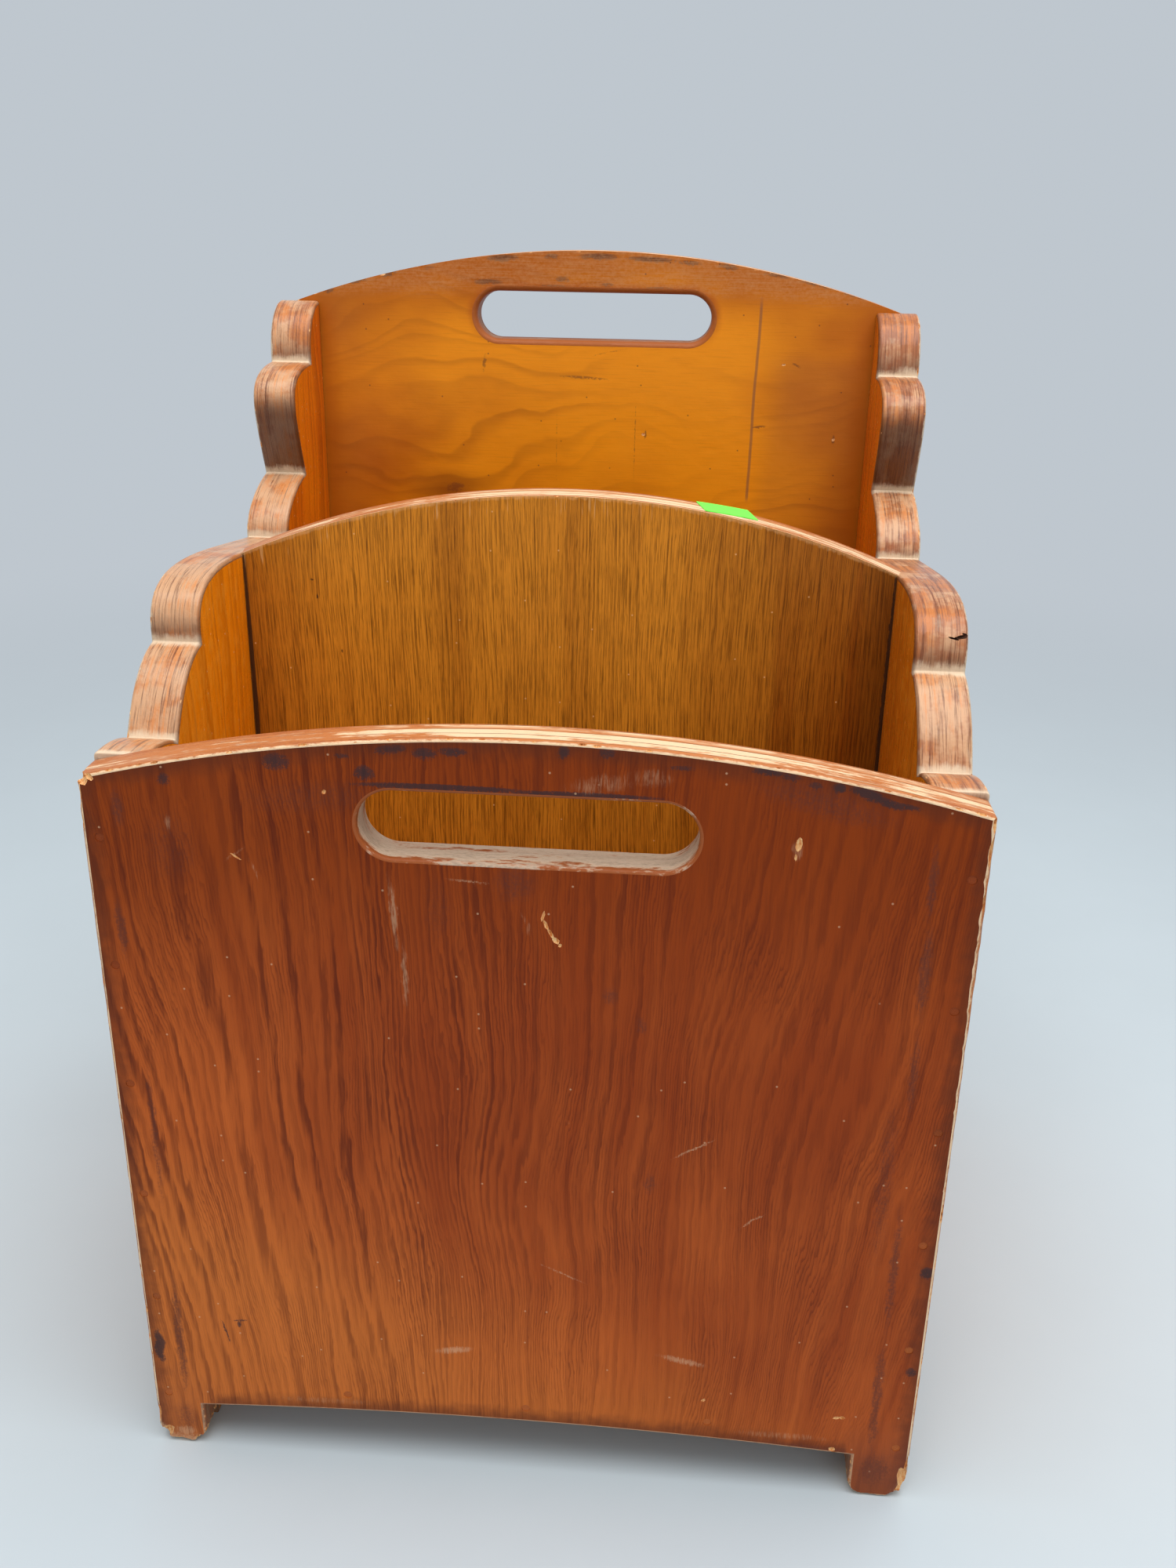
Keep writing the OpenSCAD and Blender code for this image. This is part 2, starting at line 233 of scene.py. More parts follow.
def joinObjects(name, objects):
    clearSelection()
    for obj in objects:
        obj.select_set(True)
    bpy.context.view_layer.objects.active = objects[0]
    bpy.ops.object.join()
    objects[0].name = name
    return applyPlace(objects[0])


def spacedOut(chips):  # drops the lumps that would touch an earlier one
    kept, play = [], 0.3
    for chip in chips:
        reach = max(chip[1]) + play
        if all((Vector(chip[0]) - Vector(other[0])).length > reach + max(other[1]) + play for other in kept):
            kept.append(chip)
    return kept


def solidVolume(board):  # nothing for a board with an open seam
    mesh = bmesh.new()
    mesh.from_mesh(board.data)
    volume = mesh.calc_volume() if all(len(edge.link_faces) == 2 for edge in mesh.edges) else 0
    mesh.free()
    return volume


def tryCut(board, cutter):  # takes the cut back when it spoils the board
    before, volume = board.data.copy(), solidVolume(board)
    cutWith(board, cutter, material_mode="TRANSFER")
    fine = 0.97 * volume < solidVolume(board) < volume
    dropped, board.data = (before, board.data) if fine else (board.data, before)
    bpy.data.meshes.remove(dropped)
    return fine


def cutRough(board, makeCutter, seed, *settings):  # a spoilt cut is tried again with other unevenness
    for attempt in range(8):
        if tryCut(board, makeCutter(*settings, seed + 100 * attempt)):
            return


def cutChips(board, chips, bare, touching=False, most=70):  # chips: place, size and turn of each lump
    waiting, groups = list(chips), []
    while waiting:  # lumps of one group stay clear of each other
        chosen = spacedOut(waiting)
        groups += [chosen[start:start + most] for start in range(0, len(chosen), most)]
        waiting = [chip for chip in waiting if chip not in chosen] if touching else []
    while groups:  # a group that spoils the board is halved and tried again
        group = groups.pop(0)
        lumps = joinObjects("chipCutter", [addLump(index, *chip) for index, chip in enumerate(group)])
        lumps.data.materials.append(bare)
        if not tryCut(board, lumps) and len(group) > 1:
            groups += [group[:len(group) // 2], group[len(group) // 2:]]


# chips strewn with dice along an edge, in millimetres

stray = 0.3


def scaled(size, scale):
    return tuple(part * scale for part in size)


def alongLine(dice, start, end, count, size):
    start, end = Vector(start), Vector(end)
    turn = tuple(math.degrees(angle) for angle in (end - start).to_track_quat("X", "Z").to_euler())
    chips = []
    for _ in range(count):
        place = start.lerp(end, dice.random()) + Vector([dice.uniform(-stray, stray) for _ in range(3)])
        chips.append((place, scaled(size, dice.uniform(0.5, 1) ** 2), turn))
    return chips


def alongArch(dice, sizes, top, y, count, size):
    radius = archRadius(sizes["half"], sizes["rise"])
    chips = []
    for _ in range(count):
        x = dice.uniform(-sizes["half"], sizes["half"])
        z = top - radius + math.sqrt(radius ** 2 - x ** 2)
        scale = dice.uniform(0.45, 1) ** 2
        place = x, y + dice.uniform(-stray, stray), z + dice.uniform(-stray, stray)
        chips.append((place, scaled(size, scale), (0, math.degrees(math.asin(x / radius)), 0)))
    return chips


def alongFoot(dice, outer, inner, y, count, size):  # round the bottom of a foot, from outer x to inner x
    toward = 1 if inner > outer else -1
    corners = (outer, toward, footSizes["outerRound"]), (inner, -toward, footSizes["innerRound"])
    chips = []
    for _ in range(count):
        turn = math.radians(dice.uniform(-15, 100))
        edge, side, reach = corners[0 if dice.random() < 0.6 else 1]
        small = scaled(size, dice.uniform(0.5, 1))
        place = (edge + side * reach * (1 - math.cos(turn)), y + dice.uniform(-0.3, 0.5),
                 max(0.2, reach * (1 - math.sin(turn))))
        chips.append((place, small, (0, dice.uniform(0, 90), 0)))
    return chips


# rough cutters for planed edges and torn feet

def unevenStrip(start, end, away, depth, finish, seed):  # a long rough block that shaves an edge
    start, end, away = Vector(start) * mm, Vector(end) * mm, Vector(away).normalized()
    along, half = end - start, 3 * mm
    reach = Vector((along.length / 2, half, half))
    strip = addBlock("strip", -reach, reach)
    editAll(strip)
    bpy.ops.mesh.bisect(plane_co=(0, 0, 0), plane_no=(0, 1, 0))
    for step in range(1, 64):
        bpy.ops.mesh.select_all(action="SELECT")
        bpy.ops.mesh.bisect(plane_co=((step / 64 - 0.5) * along.length, 0, 0), plane_no=(1, 0, 0))
    roughen(strip, 0.24 * mm, seed, 1)
    along.normalize()
    turn = Matrix((along, away.cross(along), away)).transposed().to_4x4()
    strip.matrix_world = Matrix.Translation((start + end) / 2 + away * (half - depth * mm)) @ turn
    strip.data.materials.append(finish)
    return applyPlace(strip)


def roughShell(low, high, rounds, climb, finish, seed):  # what lies outside the rough core of a foot
    low, high = Vector(low) * mm, Vector(high) * mm
    core = addBlock("footCore", low, high)
    for x, width in rounds:  # the bottom edge at that x
        bevelEdges(core, lambda a, b: near(a.z, low.z) and near(b.z, low.z) and near(a.x, x * mm)
                   and near(b.x, x * mm), width * mm, 5)
    applyModifier(core, "REMESH", mode="VOXEL", voxel_size=1.1 * mm)
    roughen(core, 0.5 * mm, seed, 0.7)
    margin = Vector((3, 3, 0)) * mm
    shell = addBlock("footShell", low - margin - Vector((0, 0, 3 * mm)),
                     Vector((high.x, high.y, climb * mm)) + margin)
    cutWith(shell, core)
    shell.data.materials.append(finish)
    return shell


# mouths over the filled nails, and the last steps

puttyMouth = {"width": 3.3 * mm, "depth": 1.55 * mm, "reach": 2.5 * mm}


def openMouths(board, places, turn):
    mouths = [addRod(puttyMouth["width"] / 2, 2 * puttyMouth["depth"], Vector(place) * mm, turn, 24)
              for place in places]
    cutWith(board, joinObjects("mouthCutter", mouths))


def inMouth(face, places):  # whether a face belongs to the wall or floor of a mouth
    return any((face.center - Vector(place) * mm).length < puttyMouth["reach"] for place in places)


def settle(board, node):  # last steps of every new board
    makeActive(board)
    bpy.ops.object.shade_smooth_by_angle(angle=math.radians(35))
    applyModifier(board, "WEIGHTED_NORMAL", weight=90, keep_sharp=True)
    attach(board, "root")
    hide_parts(node)
    print("stage:", board.name, len(board.data.polygons), "faces")


# shader maths: a wire is a socket that can stand in sums, a finish builds one material

def operator(kind, swapped=False):
    def act(self, other):
        return self.nodes.maths(kind, other, self) if swapped else self.nodes.maths(kind, self, other)
    return act


class Wire:
    __add__, __radd__ = operator("ADD"), operator("ADD", True)
    __sub__, __rsub__ = operator("SUBTRACT"), operator("SUBTRACT", True)
    __mul__, __rmul__ = operator("MULTIPLY"), operator("MULTIPLY", True)
    __truediv__ = operator("DIVIDE")
    atLeast, atMost = operator("MAXIMUM"), operator("MINIMUM")

    def __init__(self, nodes, socket):
        self.nodes = nodes
        self.socket = socket

    def __abs__(self):
        return self.nodes.maths("ABSOLUTE", self)

    def step(self, low, high):  # 0 at low, 1 at high, smooth between
        return self.nodes.node("MapRange", {"interpolation_type": "SMOOTHSTEP"},
                               {"Value": self, "From Min": low, "From Max": high})


class NodeSet:
    def __init__(self, owner):
        owner.use_nodes = True
        self.tree = owner.node_tree
        self.tree.nodes.clear()

    def node(self, kind, settings=None, values=None, out=0):
        node = self.tree.nodes.new("ShaderNode" + kind)
        for key, value in (settings or {}).items():
            if key == "ramp":
                while len(node.color_ramp.elements) < len(value):
                    node.color_ramp.elements.new(0.5)
                for stop, (place, colour) in zip(node.color_ramp.elements, value):
                    stop.position = place
                    stop.color = (*colour, 1)
            else:
                setattr(node, key, value)
        for key, value in (values or {}).items():
            if isinstance(value, Wire):
                self.tree.links.new(value.socket, node.inputs[key])
            elif isinstance(value, tuple) and node.inputs[key].type == "RGBA":
                node.inputs[key].default_value = (*value, 1)
            else:
                node.inputs[key].default_value = value
        return Wire(self, node.outputs[out]) if node.outputs else None

    def maths(self, kind, a, b=0):
        return self.node("Math", {"operation": kind}, {0: a, 1: b})

    def length(self, vector):
        return self.node("VectorMath", {"operation": "LENGTH"}, {0: vector}, out=1)


class Finish(NodeSet):  # look: the tones by name, and the coat
    def __init__(self, name, look, base):
        self.material = bpy.data.materials.new(name)
        super().__init__(self.material)
        point = self.node("TexCoord", out="Object")
        self.point = self.node("VectorMath", {"operation": "SCALE"}, {0: point, "Scale": 1 / mm})
        parts = self.node("SeparateXYZ", values={0: self.point}).socket.node
        self.place = [Wire(self, output) for output in parts.outputs]  # x, y and z in millimetres
        self.look = look
        self.colour = look[base]

    def blend(self, a, b, share):
        return self.node("Mix", {"data_type": "RGBA"}, {0: share, 6: a, 7: b}, out=2)

    def paint(self, tone, share):  # lays a tone over what is there
        self.colour = self.blend(self.colour, self.look.get(tone, tone), share)

    def done(self, roughness, height):
        coat, coatRoughness, specular = self.look.get("coat", (0, 0.2, 0.5))
        bump = self.node("Bump", values={"Height": height, "Distance": mm, "Strength": 1})
        shader = self.node("BsdfPrincipled", values={
            "Base Color": self.colour, "Roughness": roughness, "Coat Weight": coat,
            "Coat Roughness": coatRoughness, "Specular IOR Level": specular, "Normal": bump})
        self.node("OutputMaterial", values={0: shader})
        return self.material


def newFinish(name, look, base):
    skin = Finish(name, look, base)
    return skin, *skin.place


def pair(u, v, w=0):
    return u.nodes.node("CombineXYZ", values={0: u, 1: v, 2: w})


def noise(u, v, w=0, detail=2, rough=0.5):  # from -1 to 1, about 0 on average
    values = {"Vector": pair(u, v, w), "Scale": 1, "Detail": detail, "Roughness": rough}
    return u.nodes.node("TexNoise", values=values) * 2 - 1


def distance(u, v):
    return u.nodes.maths("SQRT", u * u + v * v)


def ellipse(flat, middle, size, turn=0):  # how far out a point lies: 1 on the rim
    values = {0: flat, "Location": (*middle, 0), "Rotation": (0, 0, math.radians(turn)), "Scale": (*size, 1)}
    return flat.nodes.length(flat.nodes.node("Mapping", {"vector_type": "TEXTURE"}, values))


def spots(flat, marks):  # a soft hill on every mark
    total = 0
    for u, v, length, width, strength, *turn in marks:
        total = (ellipse(flat, (u, v), (length, width), *turn).step(1.5, 0.2) * strength).atLeast(total)
    return total


def flecks(u, v, pitch, size, share):  # small strewn marks: 1 inside a mark, 0 elsewhere
    flat = pair(u / pitch, v / pitch)
    cell = u.nodes.node("TexVoronoi", {"voronoi_dimensions": "2D"}, {"Vector": flat, "Scale": 1})
    luck = u.nodes.node("SeparateColor", values={0: Wire(u.nodes, cell.socket.node.outputs["Color"])})
    return cell.step(size / pitch, size / pitch * 0.5) * luck.step(1 - share, 1.02 - share)


def rings(phase, low, high, drop):  # one dark line per ring: slow rise, quick fall
    ring = phase.nodes.maths("FRACT", phase)
    return ring.step(low, high) * ring.step(1, drop)


def luckOf(phase):  # a random strength for each ring
    ring = phase.nodes.maths("FLOOR", phase)
    return phase.nodes.node("TexWhiteNoise", {"noise_dimensions": "1D"}, {"W": ring})


def archTop(x, sizes):
    return sizes["top"] - x * x * (sizes["rise"] / sizes["half"] ** 2)


def slotReach(x, z, sizes):  # distance from the middle line of the slot, and its radius
    radius = sizes["slotHeight"] / 2
    along = (abs(x) - (sizes["slotLength"] / 2 - radius)).atLeast(0)
    return distance(along, z - sizes["slotCentre"]), radius


# sizes in millimetres: arch, plywood from its front face on, hand slot, easing and nails

frontSizes = {"top": 313, "rise": 19.5, "half": 150, "face": -143, "thick": 15, "slotLength": 113,
              "slotHeight": 24.5, "slotCentre": 281, "slotRim": 1.2, "ease": 1.2,
              "nailRows": (26, 75.1, 124.2, 173.3, 222.4, 271.5)}
backSizes = {"top": 452.8, "rise": 27.5, "half": 150, "innerHalf": 131, "face": 127, "thick": 16,
             "slotLength": 110.5, "slotHeight": 21.5, "slotCentre": 423.6, "slotRim": 2.5, "ease": 1,
             "nailRows": (26, 78.73, 131.46, 184.19, 236.91, 289.64, 342.37, 395.1)}
dividerSizes = {"top": 366, "rise": 27, "half": 131, "face": -13, "thick": 16.5, "ease": 0.7,
                "slotLength": 2, "slotHeight": 2, "slotCentre": -500}  # no slot: one far below the board


# finishes; the coat of a look: its weight, its roughness and the shine under it

firLook = {"light": (0.62, 0.138, 0.022), "deep": (0.285, 0.043, 0.0045), "brown": (0.24, 0.036, 0.001),
           "gold": (0.62, 0.185, 0.03), "streak": (0.095, 0.011, 0.002), "fibre": (0.05, 0.012, 0.003),
           "grime": (0.042, 0.023, 0.024), "edge": (0.1, 0.022, 0.008), "smear": (0.085, 0.027, 0.02),
           "foot": (0.13, 0.036, 0.022), "scuff": (0.7, 0.43, 0.25), "swirl": (8, 140, 46, 44),
           "coat": (0.05, 0.2, 0.09)}

# stains on the front face: middle x and z, half length, half width, strength and any turn
frontStains = [
    (-82, 302, 5, 3.2, 0.8), (-120, 294, 2.5, 2.5, 0.7), (-53, 299.5, 3.5, 2.8, 0.9),
    (-44, 308, 6, 1.8, 0.7, 8), (-33, 307, 4, 2.2, 0.8), (-24, 308, 5, 1.6, 0.8), (12, 309.5, 2, 2.5, 0.8),
    (26, 310, 3, 2, 0.7), (77, 306, 5, 1.4, 0.9, -8), (84, 304.5, 4, 1.6, 0.6, -8),
    (92, 302, 3, 1.6, 0.6, -10), (99.5, 301.5, 2, 1.8, 1, -12), (109, 299.6, 6, 1.8, 1.2, -20),
    (116, 296.8, 5, 1.5, 1, -16), (121, 296.2, 5, 1, 0.8, -10), (-104, 304, 5, 1.4, 0.5, 10),
    (-60, 305, 3, 1, 0.6), (50, 306, 5, 1, 0.5), (-145.6, 50, 1.8, 8, 1.3), (147, 112, 2.6, 2.6, 1.2, 35),
    (146.3, 64.7, 2.4, 2.4, 0.8), (-28, 295.4, 27, 1.1, 1.4), (18, 295, 25, 1, 1.2),
    (-118, 60, 0.5, 6, 0.8, 12), (-112, 66, 3, 0.5, 0.8, 8), (-112.5, 64, 0.8, 1.4, 0.9)]
# smears and pale scuffs, in the same way
frontSmears = [
    (-137, 283, 2.5, 8, 0.8), (-140.5, 237, 1.6, 12, 0.9, 2), (132, 270, 1.8, 15, 0.8),
    (133, 236, 2.2, 18, 0.9), (133.5, 196, 1.8, 18, 0.7), (135, 112, 1.8, 30, 0.8),
    (134.7, 50, 2, 28, 0.9), (-137.5, 150, 1.5, 34, 0.7), (-137, 56, 2, 30, 0.9), (29, 221, 3.2, 4, 0.6),
    (45, 144, 2.4, 5, 0.6), (40, 210, 2, 4, 0.6), (-4, 262, 8, 8, 0.6), (137, 14, 7, 9, 0.8),
    (-138, 14, 5, 9, 0.6), (-70, 290, 30, 7, 0.45, 6), (96, 296, 26, 6, 0.6, -14),
    (-120, 270, 12, 16, 0.4), (104, 22, 24, 3, 0.7), (128, 150, 4, 40, 0.5), (-30, 250, 6, 14, 0.35)]
frontScuffs = [
    (-45, 248, 1.5, 16, 0.6, 4), (-42, 224, 1.3, 14, 0.55), (-98, 268, 6, 0.7, 0.4, 38),
    (-92, 262, 0.7, 6, 0.35, 20), (-28, 59, 8, 1.8, 0.8, 10), (60, 62, 10, 1.7, 0.7, -12),
    (60, 160, 9, 0.45, 0.8, 32), (82, 130, 7, 0.45, 0.7, 40), (24, 299, 14, 4, 0.4, 10),
    (40, 302, 9, 4, 0.4), (-120, 278, 1.4, 4, 0.4), (0, 247, 1, 6, 0.4, 20), (-20, 262, 8, 0.5, 0.6, -4),
    (14, 100, 11, 0.5, 0.6, -24), (88, 279, 2.2, 5, 0.45), (-139, 6, 5, 3, 0.7), (100, 28, 22, 2.2, 0.4),
    (-80, 28, 26, 2, 0.35, 2)]


def firFace(name, look, sizes, stains, smears, scuffs):  # rotary-cut fir, grain standing up
    skin, x, y, z = newFinish(name, look, "deep")
    fan = x / (1 + (z - 150) * 0.00105)
    flow = fan + noise(x * 0.012, z * 0.0046, 3.1) * 16 + noise(x * 0.045, z * 0.011, 7.7) * 2.8
    flow = flow + noise(x * 0.3, z * 0.05, 1.3, 3, 0.6) * 1.5
    flow = flow + ellipse(pair(x, z), look["swirl"][:2], look["swirl"][2:]).step(1.3, 0) * 7
    phase = flow * 0.2 + noise(flow * 0.03, 0, 5, 1) * 2.2 + flow.step(-60, 0) * 10
    phase = phase + flow.step(30, 90) * 3 + noise(x * 0.3, z * 0.03, 9, 3, 0.6) * 0.5
    broken = noise(x * 0.3, z * 0.022, 2, 3, 0.6).step(-0.3, 0.15)
    ragged = phase + noise(x * 1.6, z * 0.05, 14, 2, 0.6) * 0.14
    late = rings(ragged, 0.18, 0.66, 0.82) * (0.35 + luckOf(phase) * 0.65) * (0.25 + broken * 0.75)
    thin = rings(flow * 0.9 + noise(x * 0.5, z * 0.05, 11) * 0.6, 0.4, 0.9, 0.92)
    thin = thin * noise(x * 0.05, z * 0.02, 4.5).step(-0.3, 0.4)
    fibre = noise(x * 3.2, z * 0.06, 4, 3, 0.65)
    patch = noise(x * 0.013, z * 0.012, 8, 3)
    band = noise(flow * 0.09, z * 0.004, 13)
    right = x.step(0, 100)
    tone = 0.2 + patch * 0.36 + band * 0.34 + x.step(-10, -95) * 0.22
    tone = tone + z.step(175, 20) * (0.36 - right * 0.16)
    skin.paint("light", tone.step(0, 1))
    skin.paint("gold", (z + patch * 50 + x * 0.5).step(110, 15) * 0.5)
    skin.paint("brown", (z + patch * 36).step(195, 285) * 0.85)
    skin.paint("streak", late * (0.84 - x.step(-50, 20) * 0.3 - z.step(170, 50) * 0.26))
    skin.paint("streak", thin * 0.5)
    skin.paint("fibre", fibre.step(-0.1, 0.8) * 0.38)
    edge = (sizes["half"] - abs(x)).atMost(archTop(x, sizes) - z)
    under = abs(z - archTop(x, footSizes)) + abs(x).step(124, 130) * 20
    edge = edge.atMost(under) + noise(x * 0.15, z * 0.15, 30, 3) * 4
    skin.paint("edge", edge.step(9, 0.5) * 0.7)
    crumbs = noise(x, z * 0.8, 6, 4, 0.8)
    spread = pair(x + noise(x * 0.2, z * 0.2, 17) * 1.6, z + crumbs * 1.5)
    dirty = spots(spread, stains)
    grit = noise(x * 2.4, z * 2, 18, 3, 0.75)
    stain = (dirty * (1 + crumbs * 2.2 + grit * 1.5)).step(0.24, 0.44) * (0.38 + dirty * 0.55)
    skin.paint("grime", stain.atMost(0.86))
    scratch = noise(x * 1.6, z * 0.16, 21, 3, 0.7)
    smear = (spots(spread, smears) * (1 + crumbs * 1.8 + scratch)).step(0.1, 1)
    skin.paint("smear", smear * 0.6)
    foot = abs(x + 3).step(118, 136) * (z + patch * 20).step(46, 8)
    skin.paint("foot", foot * (0.28 + right * 0.34))
    rubbed = spots(spread, scuffs)
    scuff = (rubbed * (1 + scratch * 2.2)).step(0.16, 0.8) * (0.25 + rubbed * 0.6)
    scuff = scuff.atLeast(flecks(x, z, 8, 0.5, 0.09) * 0.8)
    torn = (edge + crumbs * 2).step(0.2, -1.6) * z.step(18, 26) * crumbs.step(0, 0.3) * 0.7
    frayed = (z + crumbs * 5 + x.step(-143, -149) * -5).step(5.5, 1) * x.step(-100, -125)
    splinters = (z + crumbs * 4 + (sizes["half"] - x) * 1.6).step(15, 7) * scratch.step(-0.1, 0.3)
    scuff = scuff.atLeast(torn).atLeast(frayed.atLeast(splinters) * 0.95)
    skin.paint("scuff", scuff * 0.6)
    return skin.done(0.36 + noise(x * 0.05, z * 0.05, 12, 3) * 0.1 + late * 0.05 + scuff * 0.2 + stain * 0.15,
                     fibre * 0.02 + noise(x * 0.25, z * 0.1, 22, 3) * 0.07)


goldLook = {"light": (0.82, 0.27, 0.006), "deep": (0.42, 0.1, 0.003), "line": (0.2, 0.042, 0.003),
            "grime": (0.05, 0.02, 0.014), "band": (0.4, 0.085, 0.005), "veil": (0.36, 0.115, 0.02),
            "crack": (0.17, 0.07, 0.04), "haze": (0.6, 0.3, 0.13), "knot": (-69, 340, 70, 34),
            "coat": (0.06, 0.2, 0.15)}
backStains = [
    (-126, 433, 3, 1.2, 0.7, 12), (-112, 437.5, 5, 1.2, 0.7, 12), (-97, 441, 4, 1.4, 0.8, 10),
    (-78, 444, 4, 1.2, 0.4, 8), (-43, 449, 8, 1.6, 0.9, 3), (-20, 450, 4, 1.6, 0.7),
    (2, 450.4, 10, 1.6, 0.9), (26, 449.6, 12, 1.3, 0.9, -2), (44, 448.4, 6, 1.2, 0.7, -3),
    (62, 447, 5, 1.6, 0.7, -6), (84, 443.6, 7, 1.2, 0.6, -9), (104, 440, 9, 1.2, 0.8, -11),
    (122, 435.5, 8, 1.2, 0.8, -13), (-15, 440, 4, 1.8, 0.6), (6, 438, 4, 1.2, 0.6),
    (-50, 438.4, 8, 1.4, 0.7), (-20, 437, 12, 1, 0.5), (30, 437, 9, 0.9, 0.5), (-67, 342, 5, 3, 0.6, 12),
    (26, 370, 0.8, 2.4, 0.6), (116, 370, 0.9, 2.6, 0.6), (-52, 402, 1.2, 5, 0.5, -10),
    (80, 375, 4, 0.7, 0.6, 10), (96, 404, 3, 0.7, 0.5, -25), (-4, 396, 14, 0.9, 0.5, -3),
    (8, 408, 12, 0.5, 0.35, 12), (-10, 337, 10, 0.5, 0.4), (21, 366, 0.5, 30, 0.35),
    (-17, 366, 0.4, 26, 0.3)]


def goldFace(name, look, sizes, stains):  # lively cross grain under golden varnish
    skin, x, y, z = newFinish(name, look, "deep")
    knot = ellipse(pair(x, z), look["knot"][:2], look["knot"][2:])
    flow = z + noise(x * 0.009, z * 0.011, 41) * 34 + noise(x * 0.035, z * 0.05, 42) * 4
    flow = flow + knot.step(1.6, 0) * 30 - x * 0.05
    phase = flow * 0.115 + noise(flow * 0.05, 0, 43, 1) * 1.6
    late = rings(phase, 0.35, 0.85, 0.87) * (0.25 + luckOf(phase) * 0.75)
    late = late * (noise(x * 0.011, z * 0.02, 44) - x * 0.002 - (z - 380) * 0.004).step(-0.55, 0.4)
    fibre = noise(x * 0.06, z * 1.6, 45, 4, 0.65)
    patch = noise(x * 0.012, z * 0.016, 46, 3)
    middle = abs(x - 10).step(128, 40) * z.step(446, 405)
    skin.paint("light", (patch * 0.9 + middle * 0.8).step(-0.25, 0.85))
    skin.paint("line", late * 0.42)
    skin.paint("line", fibre.step(-0.1, 0.9) * 0.34)
    # painted sheen: a greyish veil laid over the right and left parts of the face
    veil = (x + patch * 14).step(78, 92) * (z + patch * 10).step(412, 400)
    veil = veil.atLeast((x + patch * 20).step(-92, -128))
    skin.paint("veil", veil * 0.3)
    reach, radius = slotReach(x, z, sizes)
    rim = reach - radius + noise(x * 0.12, z * 0.12, 47, 3) * 2
    skin.paint("band", rim.step(6, 1.5) * z.step(405, 432) * 0.9)
    # darker along the top edge; near x ±131 this is painted shade in the corners with the side boards
    edge = (sizes["innerHalf"] - abs(x)).atMost(archTop(x, sizes) - z) + noise(x * 0.1, z * 0.1, 48, 3) * 3.5
    skin.paint("deep", edge.step(11, 1) * 0.55)
    crumbs = noise(x * 0.5, z * 0.6, 49, 4, 0.75)
    dirty = spots(pair(x, z + crumbs * 1.2), stains)
    stain = (dirty * (1 + crumbs * 2.2)).step(0.2, 0.5) * (0.25 + dirty * 0.6)
    skin.paint("grime", stain)
    haze = (z + patch * 12).step(430, 438) * (fibre + crumbs).step(-0.5, 0.6)
    skin.paint("haze", haze * 0.42)
    crack = abs(x - 77 - (z - 380) * 0.02 - patch * 1.2).step(1, 0.25)
    skin.paint("crack", crack * z.step(338, 342) * z.step(436, 428) * 0.62)
    skin.paint("line", knot.step(0.42, 0) * 0.75)
    skin.paint("grime", flecks(x, z, 12, 0.5, 0.25) * 0.6)
    return skin.done(0.36 + noise(x * 0.04, z * 0.04, 51, 3) * 0.08 + stain * 0.2,
                     fibre * 0.015 + noise(x * 0.15, z * 0.2, 53, 3) * 0.07)


oakLook = {"light": (0.72, 0.262, 0.018), "deep": (0.27, 0.062, 0.003), "dash": (0.065, 0.015, 0.002),
           "grime": (0.05, 0.02, 0.01), "pale": (0.8, 0.45, 0.18), "coat": (0.04, 0.25, 0.15)}
# three small stains on the divider, then painted shade along both ends, in the corners with the side boards
dividerMarksAndCornerShade = [
    (-101, 322, 0.5, 1.5, 0.5), (-92, 299, 0.5, 1.2, 0.5), (-103, 329, 1.2, 0.6, 0.45),
    (-131, 250, 1.8, 90, 1.4), (130.5, 250, 0.9, 90, 1.2)]


def oakFace(name, look, sizes, stains):  # straight grain, the dark pores broken into dashes
    skin, x, y, z = newFinish(name, look, "light")
    lean = x + (z - 300) * 0.01 + noise(x * 0.02, z * 0.006, 61) * 5
    phase = lean * 0.62 + noise(lean * 0.12, 0, 62) * 1.6
    dash = noise(lean * 1.6, z * 0.055, 63, 3, 0.7).step(-0.2, 0.2)
    late = rings(phase, 0.15, 0.6, 0.8) * (0.3 + luckOf(phase) * 0.7) * (0.2 + dash * 0.8)
    pores = noise(lean * 2.7, z * 0.05, 64, 3, 0.75).step(0, 0.26)
    band = noise(lean * 0.11, z * 0.003, 71)
    wide = noise(lean * 0.05, z * 0.004, 65, 3)
    # painted shade: darker towards the side boards, in the corners; shade also holds broad grain tone
    sides = abs(x + 26 + wide * 20).step(60, 132)
    shade = sides * 0.7 + (wide + band * 0.8).step(-0.3, 0.8) * 0.45
    skin.paint("deep", shade.atMost(1))
    skin.paint("dash", late * 0.55)
    skin.paint("dash", pores * 0.54)
    # painted shade in the corner at the board's right end
    skin.paint("dash", (x + wide * 5).step(112, 127) * 0.45)
    crumbs = noise(x * 0.6, z * 0.3, 66, 3, 0.7)
    # stains, and painted shade along the ends where the list holds it
    stain = (spots(pair(x + crumbs * 0.5, z + crumbs), stains) * (1 + crumbs)).step(0.22, 0.5)
    skin.paint("grime", stain * 0.9)
    top = archTop(x, sizes)
    skin.paint("pale", (top - z + noise(x * 0.5, z * 0.3, 68, 3) * 1.6).step(1.6, 0.3) * 0.4)
    frayed = noise(x * 0.8, z * 0.04, 72, 2, 0.6).step(0.22, 0.36) * x.step(50, 10)
    frayed = frayed * (top - z + noise(x * 0.4, 0, 73) * 9).step(8, 5)
    skin.paint("pale", frayed * 0.45)
    skin.paint("pale", flecks(x, z, 14, 0.45, 0.2) * 0.8)
    return skin.done(0.42 + noise(x * 0.05, z * 0.05, 69, 3) * 0.08,
                     pores * -0.06 + noise(x * 0.1, z * 0.05, 70) * 0.08)


